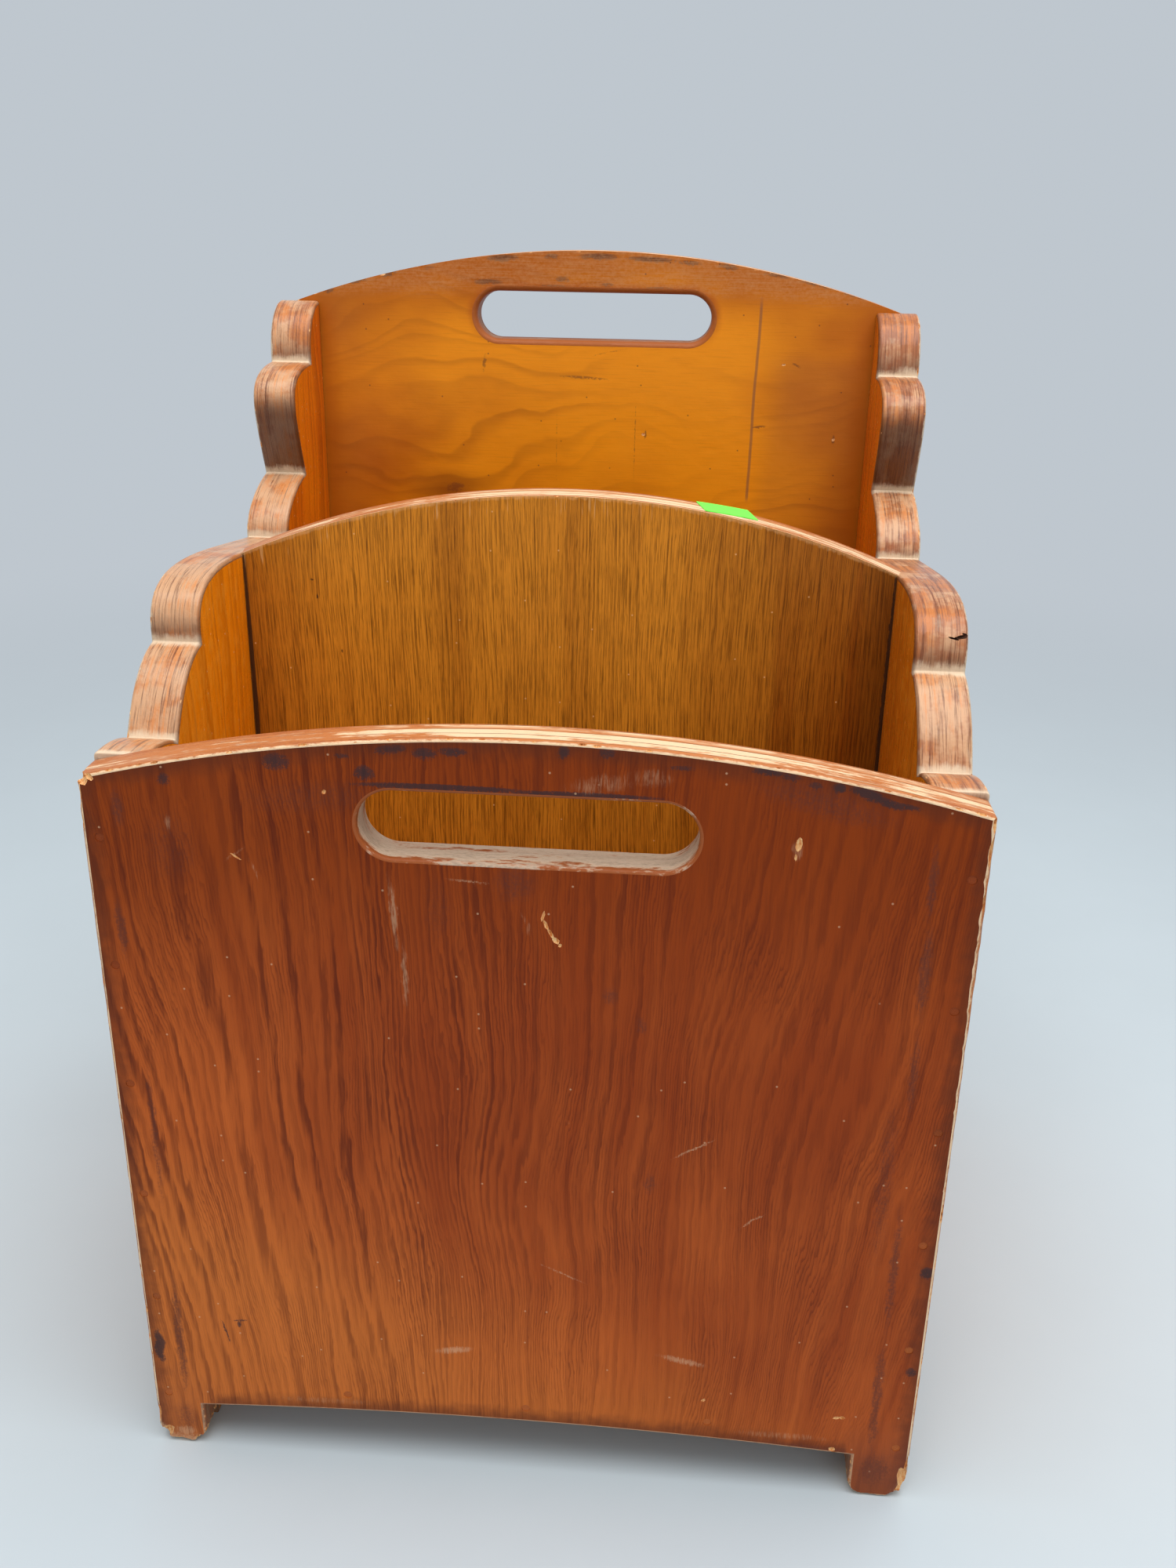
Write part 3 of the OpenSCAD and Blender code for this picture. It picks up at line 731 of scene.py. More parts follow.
sideLook = {"light": (1, 0.285, 0.003), "deep": (0.66, 0.125, 0.004), "line": (0.22, 0.035, 0.003),
            "grime": (0.06, 0.02, 0.01), "scuff": (0.95, 0.62, 0.3), "gloss": (1, 0.38, 0.03),
            "shade": (0.42, 0.085, 0.008), "dirt": (0.2, 0.11, 0.062), "coat": (0.22, 0.12, 0.2)}


def sideFace(name, look):  # solid wood, upright grain, thick drippy varnish with painted highlights on the drips
    skin, x, y, z = newFinish(name, look, "light")
    flow = y + noise(y * 0.012, z * 0.006, 81) * 18 + noise(y * 0.05, z * 0.02, 82) * 3
    phase = flow * 0.14 + noise(flow * 0.06, x * 0.02, 83, 1) * 2
    late = rings(phase, 0.1, 0.85, 0.9) * (0.2 + luckOf(phase) * 0.8)
    fibre = noise(y * 2.2, z * 0.05, 84, 3, 0.65)
    patch = noise(y * 0.02, z * 0.014, x * 0.02 + 85, 3)
    inside = abs(x).step(138, 136)
    skin.paint("deep", (patch * 0.8 + y * 0.004 * inside).step(0.05, 0.9))
    skin.paint("deep", y.step(-4, 20) * inside * 0.35 + z.step(330, 200) * 0.18)
    skin.paint("shade", x.step(0, 100) * inside * y.step(-2, -12) * 0.45)
    skin.paint("line", late * 0.5)
    skin.paint("line", fibre.step(0.1, 1) * 0.35)
    # painted shade: dark lines along the inside corners with the divider and the panels
    housing = abs(y + 4.75) - 8.4 + z.step(338, 342) * 20
    cornerShade = housing.atMost((127 - y).atMost(128 + y))
    cornerShade = (cornerShade + fibre * 0.5).step(1.6, 0.2) * inside
    skin.paint("grime", cornerShade * 0.85)
    drip = noise(y * 0.35, z * 0.09, 86, 3, 0.6)
    # painted highlight: pale glossy streaks laid on the varnish drips
    skin.paint("gloss", (drip - y * 0.004 - 0.05).step(0, 0.5) * 0.45)
    scuff = noise(y * 0.8, z * 0.14, 87, 3).step(0.48, 0.62) * patch.step(-0.2, 0.4)
    scuff = scuff.atLeast(flecks(y, z, 8, 0.45, 0.25))
    skin.paint("scuff", scuff * 0.55)
    grubby = (z + patch * 6).step(26, 12) * (fibre + drip * 0.6).step(-0.6, 0.3)
    skin.paint("dirt", grubby * 0.85)
    return skin.done(0.28 + noise(y * 0.06, z * 0.05, 88, 3) * 0.1 + scuff * 0.2 + grubby * 0.3,
                     drip * 0.16 + fibre * 0.012)


rimLook = {"tan": (0.57, 0.315, 0.17), "red": (0.28, 0.068, 0.018), "orange": (0.6, 0.195, 0.04),
           "dust": (0.7, 0.55, 0.39), "grey": (0.42, 0.31, 0.215), "dark": (0.075, 0.021, 0.007),
           "coat": (0.14, 0.18, 0.2)}
creasePlaces = [
    (-128, 296), (-100.6, 291), (-68.8, 317.8), (51.5, 330.8), (85.6, 353.9), (106, 402.2)]


def scallopFinish(name, look, creases):  # sanded and handled edge, streaked along its length, with painted shade where it faces down
    skin, x, y, z = newFinish(name, look, "tan")
    across = noise(x * 0.75, y * 0.02, z * 0.02 + 90, 4, 0.7)
    fine = noise(x * 2.4, y * 0.07, z * 0.07 + 91, 3, 0.7)
    blotch = noise(x * 0.06, y * 0.06, z * 0.06 + 92, 4, 0.65)
    right = x.step(0, 100)
    redder = blotch * 1.2 + across * 0.7 + z.step(330, 440) * 0.25 + x.step(0, 120) * 0.1
    redder = redder + abs(z - 331).step(14, 6) * right * 0.35
    redder = redder + z.step(392, 412) * right * 0.35 + z.step(310, 300) * right * 0.2
    skin.paint("red", redder.step(-0.05, 0.55) * 0.8)
    skin.paint("orange", (blotch - across * 1.1).step(-0.1, 0.4) * 0.65)
    skin.paint("dark", (fine + across * 0.8).step(-0.05, 0.5) * 0.7)
    rub = noise(x * 0.12, y * 0.1, z * 0.1 + 93, 4, 0.7)
    skin.paint("grey", (rub + fine * 0.5).step(0.15, 0.55) * 0.45)
    # painted shade: the rim is made darker where its faces look down
    normal = skin.node("SeparateXYZ", values={0: skin.node("TexCoord", out="Normal")}, out=2)
    skin.paint("dark", (normal + blotch * 0.3).step(0.35, -0.25) * 0.75)
    nearest, *others = [distance(y - creaseY, z - creaseZ) for creaseY, creaseZ in creases]
    for gap in others:
        nearest = nearest.atMost(gap)
    dusty = (nearest + rub * 3.5 + fine * 1.5).step(4, 0.8)
    skin.paint("dust", dusty * 0.85)
    outside = abs(x) + rub * 1.4 + blotch + fine * 0.4
    worn = outside.step(149, 149.8) * normal.step(-0.8, -0.1)
    inside = (abs(x) + rub * 0.8).step(132.4, 131.2)
    skin.paint("dark", inside * 0.45)
    skin.paint("dust", worn * 0.8)
    return skin.done(0.3 + dusty * 0.4 + rub.step(0.1, 0.5) * 0.25 - worn * 0.05, fine * 0.07 + rub * 0.22)


plyLook = {"cream": (0.84, 0.6, 0.37), "orange": (0.5, 0.165, 0.045), "red": (0.32, 0.078, 0.02),
           "glue": (0.08, 0.028, 0.014), "dust": (0.6, 0.46, 0.34), "grey": (0.4, 0.3, 0.22),
           "dark": (0.11, 0.032, 0.013), "slot": (0.3, 0.07, 0.014), "dirt": (0.19, 0.105, 0.06),
           "coat": (0.05, 0.25, 0.2)}
# the layers, from the front of a board to its back
plyLayers = [
    (0, "orange"), (0.09, "orange"), (0.11, "glue"), (0.135, "cream"), (0.33, "cream"), (0.35, "glue"),
    (0.38, "cream"), (0.6, "cream"), (0.625, "glue"), (0.65, "orange"), (0.86, "cream"), (0.88, "glue"),
    (0.91, "orange"), (1, "red")]


def plyEdge(name, look, sizes, bare, dustiness=0):  # the layers, varnished, rubbed bare in places
    skin, x, y, z = newFinish(name, look, "orange")
    rim = y - sizes["face"]
    depth = rim / sizes["thick"] + noise(x * 0.04, z * 0.04, 101) * 0.04
    layers = skin.node("ValToRGB", {"ramp": [(place, look[tone]) for place, tone in plyLayers]}, {0: depth})
    long = noise(x * 0.045, y * 0.9, z * 0.045 + 102, 4, 0.7)
    fine = noise(x * 0.5, y * 2.2, z * 0.5 + 103, 3, 0.7)
    patch = noise(x * 0.035, y * 0.16, z * 0.035 + 104, 4, 0.75)
    centre = abs(depth - 0.45).step(0.42, 0.1)
    rubbed = patch * 1.5 + long * 0.8 + bare + centre * 0.22
    rubbed = rubbed + abs(x - 20).step(120, 20) * 0.55 - 0.12 + x.step(60, 130) * 0.25
    rubbed = (rubbed + fine * 0.3).step(0.1, 0.6)
    skin.paint("red", (long + fine * 0.6 - centre * 0.2).step(-0.25, 0.5))
    skin.paint("grey", (patch - long * 0.7).step(0, 0.5) * 0.55)
    skin.paint(layers, rubbed * 0.9)
    skin.paint("dark", (fine + long * 0.6).step(0.25, 0.8) * 0.45)
    middle = sizes["slotCentre"]
    low = z.step(middle - 30, middle - 90) * abs(x).step(147, 143)
    skin.paint("red", low * 0.6)
    reach, radius = slotReach(x, z, sizes)
    inSlot = reach.step(radius + 4.5, radius + 4)
    worn = (rim + patch * 0.9 + fine * 0.4).step(0.55, 0.1) * (1 - low * 0.6) * (1 - inSlot)
    skin.paint("cream", worn * 0.9)
    floorShare = z.step(middle + 6, middle - radius + 1)
    dusty = patch * 2.8 + fine * 0.9 + floorShare * 0.35 + rim.step(1, 6) * 0.95 + dustiness
    dusty = dusty.step(0.35, 1)
    skin.paint("slot", inSlot * (1 - dusty) * 0.9)
    dustTone = skin.blend(look["dust"], look["grey"], (fine + patch).step(-0.1, 0.6))
    skin.paint(dustTone, inSlot * dusty * 0.9)
    grubby = (z + patch * 8).step(30, 14)
    skin.paint("dirt", grubby * (fine + long * 0.5).step(-0.5, 0.4) * 0.8)
    torn = (z + fine * 4 + patch * 4).step(7, 1)
    skin.paint("cream", torn * 0.45)
    return skin.done(0.42 + dusty * inSlot * 0.35 + rubbed * 0.15, fine * 0.14 + long * 0.08)


def bareWood(name, bare):  # splintered wood inside chips, and near black for painted shade inside a crack
    look = {"bare": bare, "warm": (bare[0] * 0.8, bare[1] * 0.42, bare[2] * 0.2),
            "dirt": (0.09, 0.03, 0.012), "coat": (0, 0.2, 0.2)}
    skin, x, y, z = newFinish(name, look, "bare")
    strand = noise(x * 1.4, y * 1.4, z * 0.25, 4, 0.7)
    dirt = noise(x * 0.35, y * 0.35, z * 0.35 + 110, 4, 0.7)
    skin.paint("warm", (strand + dirt * 0.8).step(-0.35, 0.35))
    skin.paint("dirt", (dirt + strand * 0.5).step(0.1, 0.55) * 0.75)
    return skin.done(0.75 + strand * 0.1, strand * 0.12)


def agedBoard(name, look):  # the bottom board, dusty in patches
    skin, x, y, z = newFinish(name, look, "wood")
    flow = y + noise(x * 0.006, y * 0.03, 121) * 12
    late = rings(flow * 0.22 + noise(flow * 0.05, 0, 122, 1) * 2, 0.2, 0.85, 0.9)
    fibre = noise(x * 0.05, y * 1.8, z * 1.8 + 123, 4, 0.65)
    dust = noise(x * 0.03, y * 0.03, z * 0.03 + 124, 4, 0.6).step(0, 0.7)
    skin.paint("late", late * 0.6)
    skin.paint("fibre", fibre.step(0, 0.9) * 0.4)
    skin.paint("dust", dust * 0.45)
    return skin.done(0.55 + dust * 0.2, fibre * 0.05 - late * 0.05)


def puttyFinish(name, look):  # filler, paler near the floor
    skin, x, y, z = newFinish(name, look, "low")
    grain = noise(x * 2.5, y * 2.5, z * 2.5, 4, 0.7)
    tint = noise(x * 0.02, y * 0.02, z * 0.02 + 131)
    skin.paint("high", z.step(40, 230))
    skin.paint("dark", (grain + tint).step(-0.2, 0.9) * 0.7)
    return skin.done(0.5 + grain * 0.1, grain * 0.08)


def steelFinish(name, look):  # round wire nails, dull with spots of rust
    skin, x, y, z = newFinish(name, look, "steel")
    rust = noise(x * 0.8, y * 0.8, z * 0.8, 4, 0.6).step(0, 0.45)
    drawn = noise(x * 1.5, y * 1.5, z * 1.5 + 141, 3)
    skin.paint("rust", rust)
    return skin.done(0.38 + rust * 0.4 + drawn * 0.05, rust * 0.03 + drawn * 0.01)


def paperFinish(name, look):  # fluorescent paper, faintly fibrous and rubbed
    skin, x, y, z = newFinish(name, look, "bright")
    fibre = noise(x * 1.3, y * 1.3, z * 1.3, 4, 0.7)
    rub = noise(x * 0.15, y * 0.15, z * 0.15 + 151, 3)
    skin.paint("dull", (fibre + rub).step(0, 1.1) * 0.5)
    return skin.done(0.62 + rub * 0.08, fibre * 0.02 + rub * 0.05)


# front and back panels

bottomNails = {"x": (-71, 0, 71), "z": 32}
panelNailX = 144.3


def handPanel(name, node, sizes, finishes, nailedFrom):
    low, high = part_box(node)
    corner = (sizes["top"] - sizes["rise"]) * mm
    board = archedBoard(name, low, high, archRadius(high.x, high.z - corner))
    cutHandSlot(board, low, high, inMetres(sizes))
    cutFeet(board, low, high)
    easeEdges(board, sizes["ease"] * mm)
    outer = (low.y if nailedFrom == "front" else high.y) / mm
    places = [(x, outer, z) for x in (-panelNailX, panelNailX) for z in sizes["nailRows"]]
    places += [(x, outer, bottomNails["z"]) for x in bottomNails["x"]]
    openMouths(board, places, (quarter, 0, 0))

    def sideOf(face):
        if inMouth(face, places):
            return nailedFrom
        return "front" if near(face.center.y, low.y) else "rear" if near(face.center.y, high.y) else "edge"

    paintFaces(board, finishes, sideOf)
    return board


def chipRows(rows):  # rows: place, size, turn about Y and sometimes about Z
    return [(row[:3], row[3:6], (0, *(row + (0,))[6:8])) for row in rows]


frontEdge = plyEdge("frontPlyEdge", plyLook, frontSizes, 0.05)
bareSkin = bareWood("bareWood", (0.82, 0.52, 0.24))
# near-black finish: painted shade on the walls of the lobe crack
crackShadeSkin = bareWood("paintedCrackShade", (0.05, 0.02, 0.008))
frontPanel = handPanel("frontPanel", "front_panel", frontSizes, {
    "front": firFace("firVeneer", firLook, frontSizes, frontStains, frontSmears, frontScuffs),
    "rear": oakFace("insideVeneer", oakLook, dividerSizes, []), "edge": frontEdge}, "front")
frontDamage = [
    # chewed corner
    (-150.2, -143, 293.4, 4.6, 3.6, 2.4, 25), (-146.4, -143.4, 294.2, 3, 1.4, 1.3, 35, 10),
    (-150.2, -138.5, 292.4, 1.8, 3.2, 3, 0), (-150, -142.6, 286.5, 1.3, 1.6, 5.6, 4),
    (-149.8, -142.8, 277, 0.9, 1.2, 3.2, 0), (150, -142.6, 291, 1.6, 1.8, 3.4, 0),
    # torn right foot
    (149, -142.8, 9, 2.6, 2.2, 7.5, -12), (147, -143.3, 5, 1, 1, 6.4, 18),
    (148.8, -141.6, 18, 1.5, 1.6, 6.4, 5), (145.6, -143.2, 1.2, 4.2, 1.4, 1.9, -28),
    (136, -143.4, 0.2, 4.6, 1.2, 1.3, 4),
    # left foot
    (-147.6, -143, 4.4, 2.6, 1.8, 5, 38), (-149.6, -142.6, 14, 1.2, 1.6, 5.4, 6),
    (-141, -143.2, 0.6, 5, 1.6, 1.7, 7), (-133.6, -143, 2.4, 2.2, 1.5, 2, -40),
    # nicks on the face
    (-66.6, -143, 292, 0.9, 0.5, 1, 0), (88.3, -143, 281.2, 1.1, 0.35, 2.6, 6),
    (87.6, -143, 276.6, 0.5, 0.3, 1.4, 0), (5.6, -143, 250.4, 0.6, 0.4, 2.2, 12),
    (6.6, -143, 247.2, 0.75, 0.5, 2.4, -22), (8.2, -143, 244, 0.7, 0.5, 2.6, -30),
    (10, -143, 241.4, 1, 0.5, 1.5, -50), (11.4, -143, 239.6, 0.7, 0.4, 0.9, 0),
    (120.4, -143, 39.2, 1.7, 0.4, 0.8, -8), (122.6, -143, 39.5, 1.2, 0.4, 0.9, 20),
    (120, -143, 23, 1.3, 0.5, 1.1, -10), (69, -143, 43, 0.7, 0.35, 1.1, 30),
    (-98, -143, 267, 2.6, 0.3, 0.4, 35)]
# strips planed off the edges: start, end, direction away from the board and depth
frontPlaned = [
    ((150.9, -143.5, 3), (150, -143, 297), (1, -0.45, 0), 1),
    ((150.9, -143.6, 60), (149.9, -142.9, 297), (0.45, -1, 0), 0.85),
    ((-150, -143, 3), (-150.2, -143.2, 297), (-1, -0.8, 0), 0.8)]
# rough feet: low and high corner, x and width of each rounding, and how far up it goes
frontFeet = [
    ((-150.7, -143.7, 0.5), (-130, -127.3, 30), ((-150.7, 10.4), (-130, 9.6)), 10.7),
    ((127, -143.7, 0.5), (150.6, -127.3, 30), ((150.6, 10.6), (127, 8.5)), 10.4)]
# chips on straight edges above the feet, and below them: start, end, count and largest size
frontSides = [
    ((-149.5, -142.5, 9), (-149.5, -142.5, 120), 34, (2.6, 1.2, 1)),
    ((-149.5, -142.5, 120), (-149.5, -142.5, 288), 30, (4.5, 1, 0.9)),
    ((149.5, -142.5, 9), (149.5, -142.5, 150), 24, (5.5, 0.9, 0.8)),
    ((149.1, -142.1, 150), (149.1, -142.1, 288), 44, (6.5, 1.2, 1.1)),
    ((149.8, -139, 10), (149.8, -137, 280), 24, (14, 0.6, 0.7))]
frontGaps = [
    ((-130.8, -142.8, 6), (-130.8, -142.8, 18), 6, (1.6, 0.8, 0.8)),
    ((127.8, -142.8, 6), (127.8, -142.8, 18), 6, (1.6, 0.8, 0.8)),
    ((-126, -142.8, 21.6), (0, -142.8, 24.8), 12, (2.4, 0.7, 0.6)),
    ((0, -142.8, 24.8), (122, -142.8, 21.6), 16, (2.6, 0.7, 0.6)),
    ((-50, -142.8, 293.6), (50, -142.8, 293.6), 8, (1.2, 0.35, 0.4))]

cutChips(frontPanel, chipRows(frontDamage), bareSkin, touching=True)
for seed, strip in enumerate(frontPlaned, 3):
    cutRough(frontPanel, unevenStrip, seed, *strip, frontEdge)
for seed, foot in enumerate(frontFeet, 21):
    cutRough(frontPanel, roughShell, seed, *foot, bareSkin)
dice = random.Random(11)
chips = alongArch(dice, frontSizes, 312.7, -142.7, 60, (2.2, 0.7, 0.6))
chips += alongArch(dice, frontSizes, 312.7, -128.3, 20, (1.8, 0.6, 0.6))
for row in frontSides:
    chips += alongLine(dice, *row)
chips += alongFoot(dice, -150, -130.5, -142.6, 40, (2, 1.4, 1.8))
chips += alongFoot(dice, 150, 127.5, -142.6, 40, (1.8, 1.2, 1.6))
chips += alongFoot(dice, -150, -130.5, -136, 16, (1.6, 2.6, 1.4))
chips += alongFoot(dice, 150, 127.5, -136, 16, (1.6, 2.6, 1.4))
for row in frontGaps:
    chips += alongLine(dice, *row)
cutChips(frontPanel, chips, bareSkin)
settle(frontPanel, "front_panel")

outsideLook = {**goldLook, "light": (0.6, 0.19, 0.02), "deep": (0.4, 0.1, 0.012),
               "crack": (0.5, 0.15, 0.016)}
backPanel = handPanel("backPanel", "back_panel", backSizes, {
    "front": goldFace("goldenVeneer", goldLook, backSizes, backStains),
    "rear": goldFace("goldenOutside", outsideLook, backSizes, []),
    "edge": plyEdge("backPlyEdge", {**plyLook, "slot": (0.34, 0.085, 0.012)}, backSizes, -0.05, -1.2)
}, "rear")
dice = random.Random(12)
chips = alongArch(dice, backSizes, 452.8, 127, 26, (2, 0.6, 0.6))
chips += alongArch(dice, backSizes, 452.8, 143, 22, (2, 0.6, 0.6))
for x in (-150, 150):
    chips += alongLine(dice, (x, 143, 6), (x, 143, 422), 20, (2.2, 0.5, 0.5))
cutChips(backPanel, chips, bareSkin)
backDamage = [
    (25, 127, 370, 1, 0.3, 0.8, 20), (116, 127, 370, 0.9, 0.3, 0.9, 0), (90, 127, 404, 1.2, 0.3, 0.6, 0)]
cutChips(backPanel, chipRows(backDamage), bareSkin)
settle(backPanel, "back_panel")


# divider

low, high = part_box("divider")
arc = archRadius(dividerSizes["half"] * mm, dividerSizes["rise"] * mm)
divider = archedBoard("partition", low, high, arc)
easeEdges(divider, dividerSizes["ease"] * mm)
paintFaces(divider, {"face": oakFace("oakVeneer", oakLook, dividerSizes, dividerMarksAndCornerShade),
                     "edge": plyEdge("dividerPlyEdge", plyLook, dividerSizes, 0.12)},
           lambda face: "face" if near(face.center.y, low.y) or near(face.center.y, high.y) else "edge")
dice = random.Random(13)
chips = alongArch(dice, dividerSizes, 366, -13, 40, (2.2, 0.5, 0.7))
chips += alongArch(dice, dividerSizes, 366, 3.5, 16, (1.6, 0.5, 0.5))
cutChips(divider, chips, bareSkin)
settle(divider, "divider")


# side boards: start of the scalloped edge, then run, rise, and direction and reach at each end of a lobe

sideSizes = {"start": (15, 296), "footLength": 45, "grooveDepth": 4, "groovePlay": 0.2, "grooveTop": 336.8,
             "rim": 1.5, "ease": 0.6, "dividerNails": (83, 161, 239, 317), "floorNails": (-68, -0.5, 67)}
sideLobes = [
    (27.4, -5, 4, 0.33, -26, 0.32), (31.8, 26.8, 62, 0.39, 8, 0.33), (120.3, 13, 97, 0.28, -7, 0.61),
    (34.1, 23.1, 95, 0.29, 10, 0.38), (20.4, 48.3, 113, 0.67, 2, 0.81), (21, 26.1, 95, 0.36, 5, 0.45)]


def scallopKnots():  # each crease with the handles before and after it
    crease = Vector(sideSizes["start"])
    knots, before = [], crease
    for run, rise, lowTurn, lowReach, highTurn, highReach in sideLobes:
        following = crease + Vector((run, rise))
        chord = (following - crease).length
        lowTurn, highTurn = math.radians(lowTurn), math.radians(highTurn)
        leaving = Vector((math.cos(lowTurn), math.sin(lowTurn))) * lowReach * chord
        arriving = Vector((math.cos(highTurn), math.sin(highTurn))) * highReach * chord
        knots.append((crease, before, crease + leaving))
        crease, before = following, following - arriving
    knots.append((crease, before, crease))
    return knots


def scallopedSlab(name, low, high):  # a filled outline, given the board's thickness
    shape = bpy.data.curves.new(name, "CURVE")
    shape.dimensions = "2D"
    shape.fill_mode = "BOTH"
    shape.extrude = (high.x - low.x) / 2
    knots = scallopKnots()
    backEnd, frontEnd = knots[-1][0].x, knots[0][0].x
    knots += [(Vector((backEnd, 0)),) * 3, (Vector((frontEnd, 0)),) * 3]
    spline = shape.splines.new("BEZIER")
    spline.bezier_points.add(len(knots) - 1)
    spline.use_cyclic_u = True
    spline.resolution_u = 20
    for knot, (place, before, after) in zip(spline.bezier_points, knots):
        knot.handle_left_type = knot.handle_right_type = "FREE"
        knot.co = (*place * mm, 0)
        knot.handle_left = (*before * mm, 0)
        knot.handle_right = (*after * mm, 0)
    slab = bpy.data.objects.new(name, shape)
    bpy.context.collection.objects.link(slab)
    slab.location = ((low.x + high.x) / 2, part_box("front_panel")[0].y, 0)
    slab.rotation_euler = (quarter, 0, quarter)
    makeActive(slab)
    bpy.ops.object.convert(target="MESH")
    applyPlace(slab)
    editAll(slab)
    bpy.ops.mesh.remove_doubles(threshold=1e-6)
    bpy.ops.mesh.dissolve_limited(angle_limit=math.radians(0.2))
    bpy.ops.mesh.select_all(action="SELECT")
    bpy.ops.mesh.normals_make_consistent(inside=False)
    bpy.ops.object.mode_set(mode="OBJECT")
    return slab


def sideBoard(name, node, side, finishes):
    sizes = inMetres(sideSizes)
    feet = inMetres(footSizes)
    low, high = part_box(node)
    inner, outer = (low.x, high.x) if side > 0 else (high.x, low.x)
    board = scallopedSlab(name, low, high)
    bevelEdges(board, lambda a, b: near(a.x, b.x) and min(a.z, b.z) > 0.28, sizes["rim"], 4)
    easeEdges(board, sizes["ease"], 2)
    front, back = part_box("divider")
    groove = addBlock("grooveCutter", (inner - past, front.y - sizes["groovePlay"], front.z),
                      (inner + side * sizes["grooveDepth"], back.y + sizes["groovePlay"], sizes["grooveTop"]))
    cutWith(board, groove)
    half = high.y + backSizes["thick"] * mm - sizes["footLength"]
    gap = archedBoard("gapCutter", (-half, -high.x - past, -5 * past), (half, -low.x + past, feet["top"]),
                      archRadius(half, feet["rise"]))
    gap.rotation_euler.z = quarter
    cutWith(board, applyPlace(gap))
    corners = [cornerCutter((low.x - past, end * half, 0), (high.x + past, end * half, 0), (0, end, 1),
                            feet["sideInnerRound"]) for end in (-1, 1)]
    corners.append(cornerCutter((outer, low.y - past, 0), (outer, high.y + past, 0), (-side, 0, 1),
                                feet["sideOuterRound"]))
    for corner in corners:
        cutWith(board, corner)
    places = [(outer / mm, y, bottomNails["z"]) for y in sideSizes["floorNails"]]
    places += [(outer / mm, (front.y + back.y) / 2 / mm, z) for z in sideSizes["dividerNails"]]
    openMouths(board, places, (0, quarter, 0))

    def partOf(face):
        flat = near(face.center.x, low.x) or near(face.center.x, high.x)
        groove = abs(face.normal.x) > 0.99 and face.area > 1e-4
        return "face" if flat or groove or inMouth(face, places) else "rim"

    paintFaces(board, finishes, partOf)
    return board


def alongScallop(dice, x, count, size):  # chips strewn along a scalloped rim
    knots = scallopKnots()
    chips = []
    for _ in range(count):
        lobe, t = dice.randrange(len(knots) - 1), dice.random()
        (start, _, startPull), (end, endPull, _) = knots[lobe], knots[lobe + 1]
        place = (start * (1 - t) ** 3 + startPull * 3 * t * (1 - t) ** 2
                 + endPull * 3 * t * t * (1 - t) + end * t ** 3)
        heading = ((startPull - start) * (1 - t) ** 2 + (endPull - startPull) * 2 * t * (1 - t)
                   + (end - endPull) * t * t)
        chips.append(((x, place.x + frontSizes["face"], place.y), scaled(size, dice.uniform(0.4, 1) ** 2),
                      (math.degrees(math.atan2(heading.y, heading.x)), 0, 0)))
    return chips


sideSkins = {"face": sideFace("sideVarnish", sideLook),
             "rim": scallopFinish("scallopEdge", rimLook, creasePlaces)}
# a crack in a right lobe, its walls painted near black as shade
lobeCrack = [
    (147.6, -67.4, 330.4, 3, 1.9, 0.7, -8), (144.6, -67, 329.8, 2, 1.3, 0.35, 14),
    (148.6, -66.9, 331.2, 1.6, 1.4, 0.6, 25)]
for name, node, side, seed in (("sideLeft", "side_left", -1, 14), ("sideRight", "side_right", 1, 15)):
    board = sideBoard(name, node, side, sideSkins)
    dice = random.Random(seed)
    chips = alongScallop(dice, side * 131, 46, (0.9, 2.6, 0.8))
    chips += alongScallop(dice, side * 149.6, 60, (0.9, 2.8, 0.9))
    chips += alongFoot(dice, side * 150, side * 136, -127.6, 16, (1.8, 2, 1.8))
    cutChips(board, chips, bareSkin)
    if side > 0:
        cutChips(board, chipRows(lobeCrack), crackShadeSkin, touching=True)
    settle(board, node)
for lump in smallLumps + largeLumps:
    bpy.data.meshes.remove(lump.data)


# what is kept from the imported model

bottomLook = {"wood": (0.42, 0.16, 0.045), "late": (0.168, 0.0512, 0.01125), "fibre": (0.1, 0.035, 0.012),
              "dust": (0.45, 0.36, 0.27), "coat": (0.05, 0.3, 0.35)}
puttyLook = {"low": (0.44, 0.112, 0.026), "high": (0.27, 0.05, 0.011), "dark": (0.12, 0.03, 0.01),
             "coat": (0, 0.2, 0.1)}
nailLook = {"steel": (0.36, 0.35, 0.34), "rust": (0.22, 0.07, 0.025)}
labelLook = {"bright": (0.16, 0.95, 0.08), "dull": (0.12, 0.8075, 0.048)}
for word, finish in (("bottom", agedBoard("agedBoard", bottomLook)),
                     ("nails", steelFinish("dullSteel", nailLook)),
                     ("putty", puttyFinish("nailPutty", puttyLook)),
                     ("label", paperFinish("fluorescentPaper", labelLook))):
    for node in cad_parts:
        if word in node:  # the nails in the bottom are turned to steel after it
            for slot in bpy.data.objects[node].material_slots:
                slot.material = finish
print("stage: kept nodes finished")


# camera, floor and light

cameraView = {"place": (0.0474, -0.548, 0.4691), "yaw": -4.21, "pitch": 21.64, "roll": -0.97,
              "lens": 31.53, "shift": (0.0042, -0.0168)}
studio = {"backdrop": (0.52, 0.57, 0.62), "ambient": (0.95, 0.98, 1), "ambience": 0.5,
          "floor": (0.52, 0.59, 0.63), "mottled": (0.5512, 0.6254, 0.6678), "floorRadius": 6,
          "fadeFrom": 450, "fadeTo": 1500}


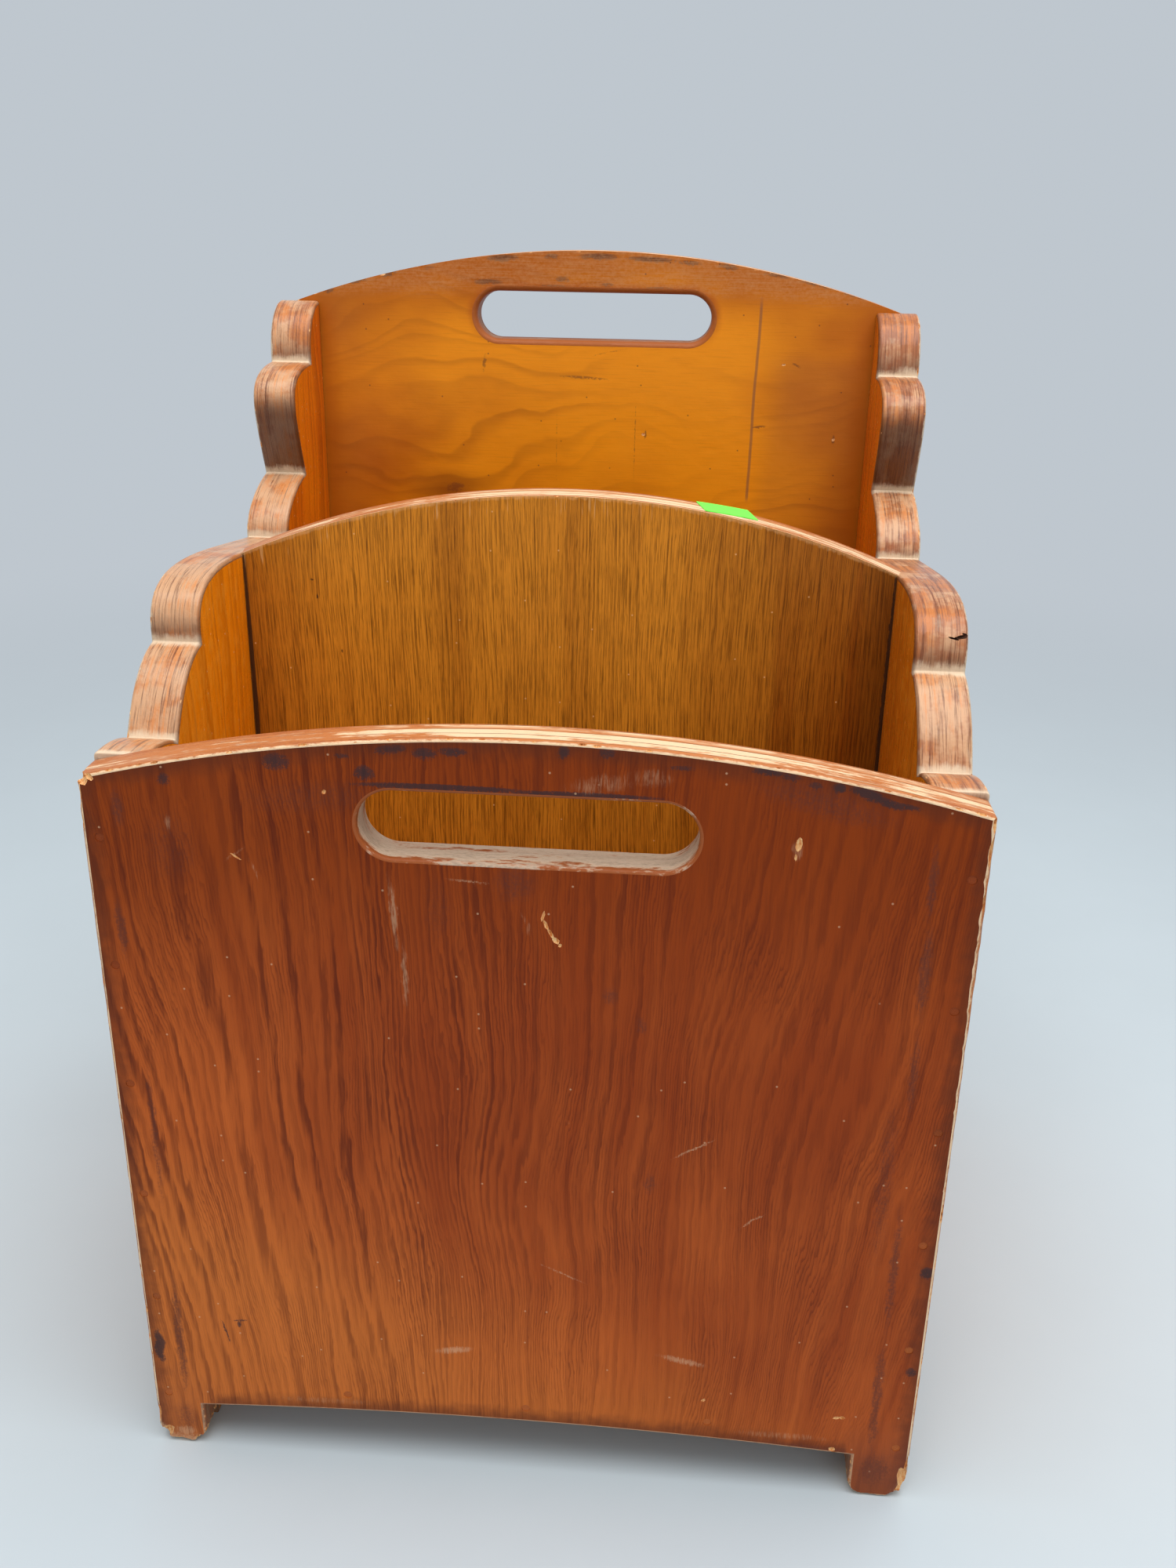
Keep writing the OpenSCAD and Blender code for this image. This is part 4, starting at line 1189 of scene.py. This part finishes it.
def placeCamera(view):
    yaw, pitch, roll = (math.radians(view[key]) for key in ("yaw", "pitch", "roll"))
    turn = Euler((quarter - pitch, 0, -yaw)).to_matrix() @ Matrix.Rotation(-roll, 3, "Z")
    clearSelection()
    bpy.ops.object.camera_add(location=view["place"], rotation=turn.to_euler())
    camera = bpy.context.object
    camera.data.lens = view["lens"]
    camera.data.sensor_width = 36
    camera.data.shift_x, camera.data.shift_y = view["shift"]
    bpy.context.scene.camera = camera


def makeWorld():
    world = bpy.context.scene.world or bpy.data.worlds.new("studio")
    bpy.context.scene.world = world
    sky = NodeSet(world)
    seen, glossy, through = (sky.node("LightPath", out="Is %s Ray" % ray)
                             for ray in ("Camera", "Glossy", "Transmission"))
    seen = seen.atLeast(glossy).atLeast(through)  # 1 where such rays look straight at the world
    ambient = sky.node("Background", values={"Color": studio["ambient"], "Strength": studio["ambience"]})
    backdrop = sky.node("Background", values={"Color": studio["backdrop"]})
    mixed = sky.node("MixShader", values={0: seen, 1: ambient, 2: backdrop})
    sky.node("OutputWorld", values={0: mixed})


def floorFinish():  # pale floor that runs out into the backdrop's colour
    skin, x, y, z = newFinish("paleFloor", studio, "floor")
    mottle = noise(x * 0.01, y * 0.01, 0, 4, 0.6)
    skin.paint("mottled", mottle * 0.5 + 0.5)
    bump = skin.node("Bump", values={"Height": mottle, "Distance": 0.2 * mm})
    lit = skin.node("BsdfPrincipled", values={"Base Color": skin.colour, "Roughness": 0.7, "Normal": bump})
    far = skin.node("Emission", values={"Color": studio["backdrop"]})
    away = skin.length(skin.point).step(studio["fadeFrom"], studio["fadeTo"])
    skin.node("OutputMaterial", values={0: skin.node("MixShader", values={0: away, 1: lit, 2: far})})
    return skin.material


def addSoftbox(name, place, target, size, power):
    clearSelection()
    aim = (Vector(target) - Vector(place)).to_track_quat("-Z", "Y").to_euler()
    bpy.ops.object.light_add(type="AREA", location=place, rotation=aim)
    lamp = bpy.context.object
    lamp.name = name
    lamp.data.shape = "RECTANGLE"
    lamp.data.size, lamp.data.size_y = size
    lamp.data.energy = power


placeCamera(cameraView)
bpy.context.scene.view_settings.view_transform = "Standard"
makeWorld()
addSoftbox("overhead", (0.12, -0.3, 1.6), (0, 0, 0.2), (1.5, 1.2), 26)
addSoftbox("frontFill", (0.5, -1.8, 1), (0, 0, 0.2), (1.6, 1.2), 4)

clearSelection()
bpy.ops.mesh.primitive_circle_add(vertices=96, radius=studio["floorRadius"], fill_type="NGON")
floor = bpy.context.object
floor.name = "floor"
floor.data.materials.append(floorFinish())
print("stage: studio")
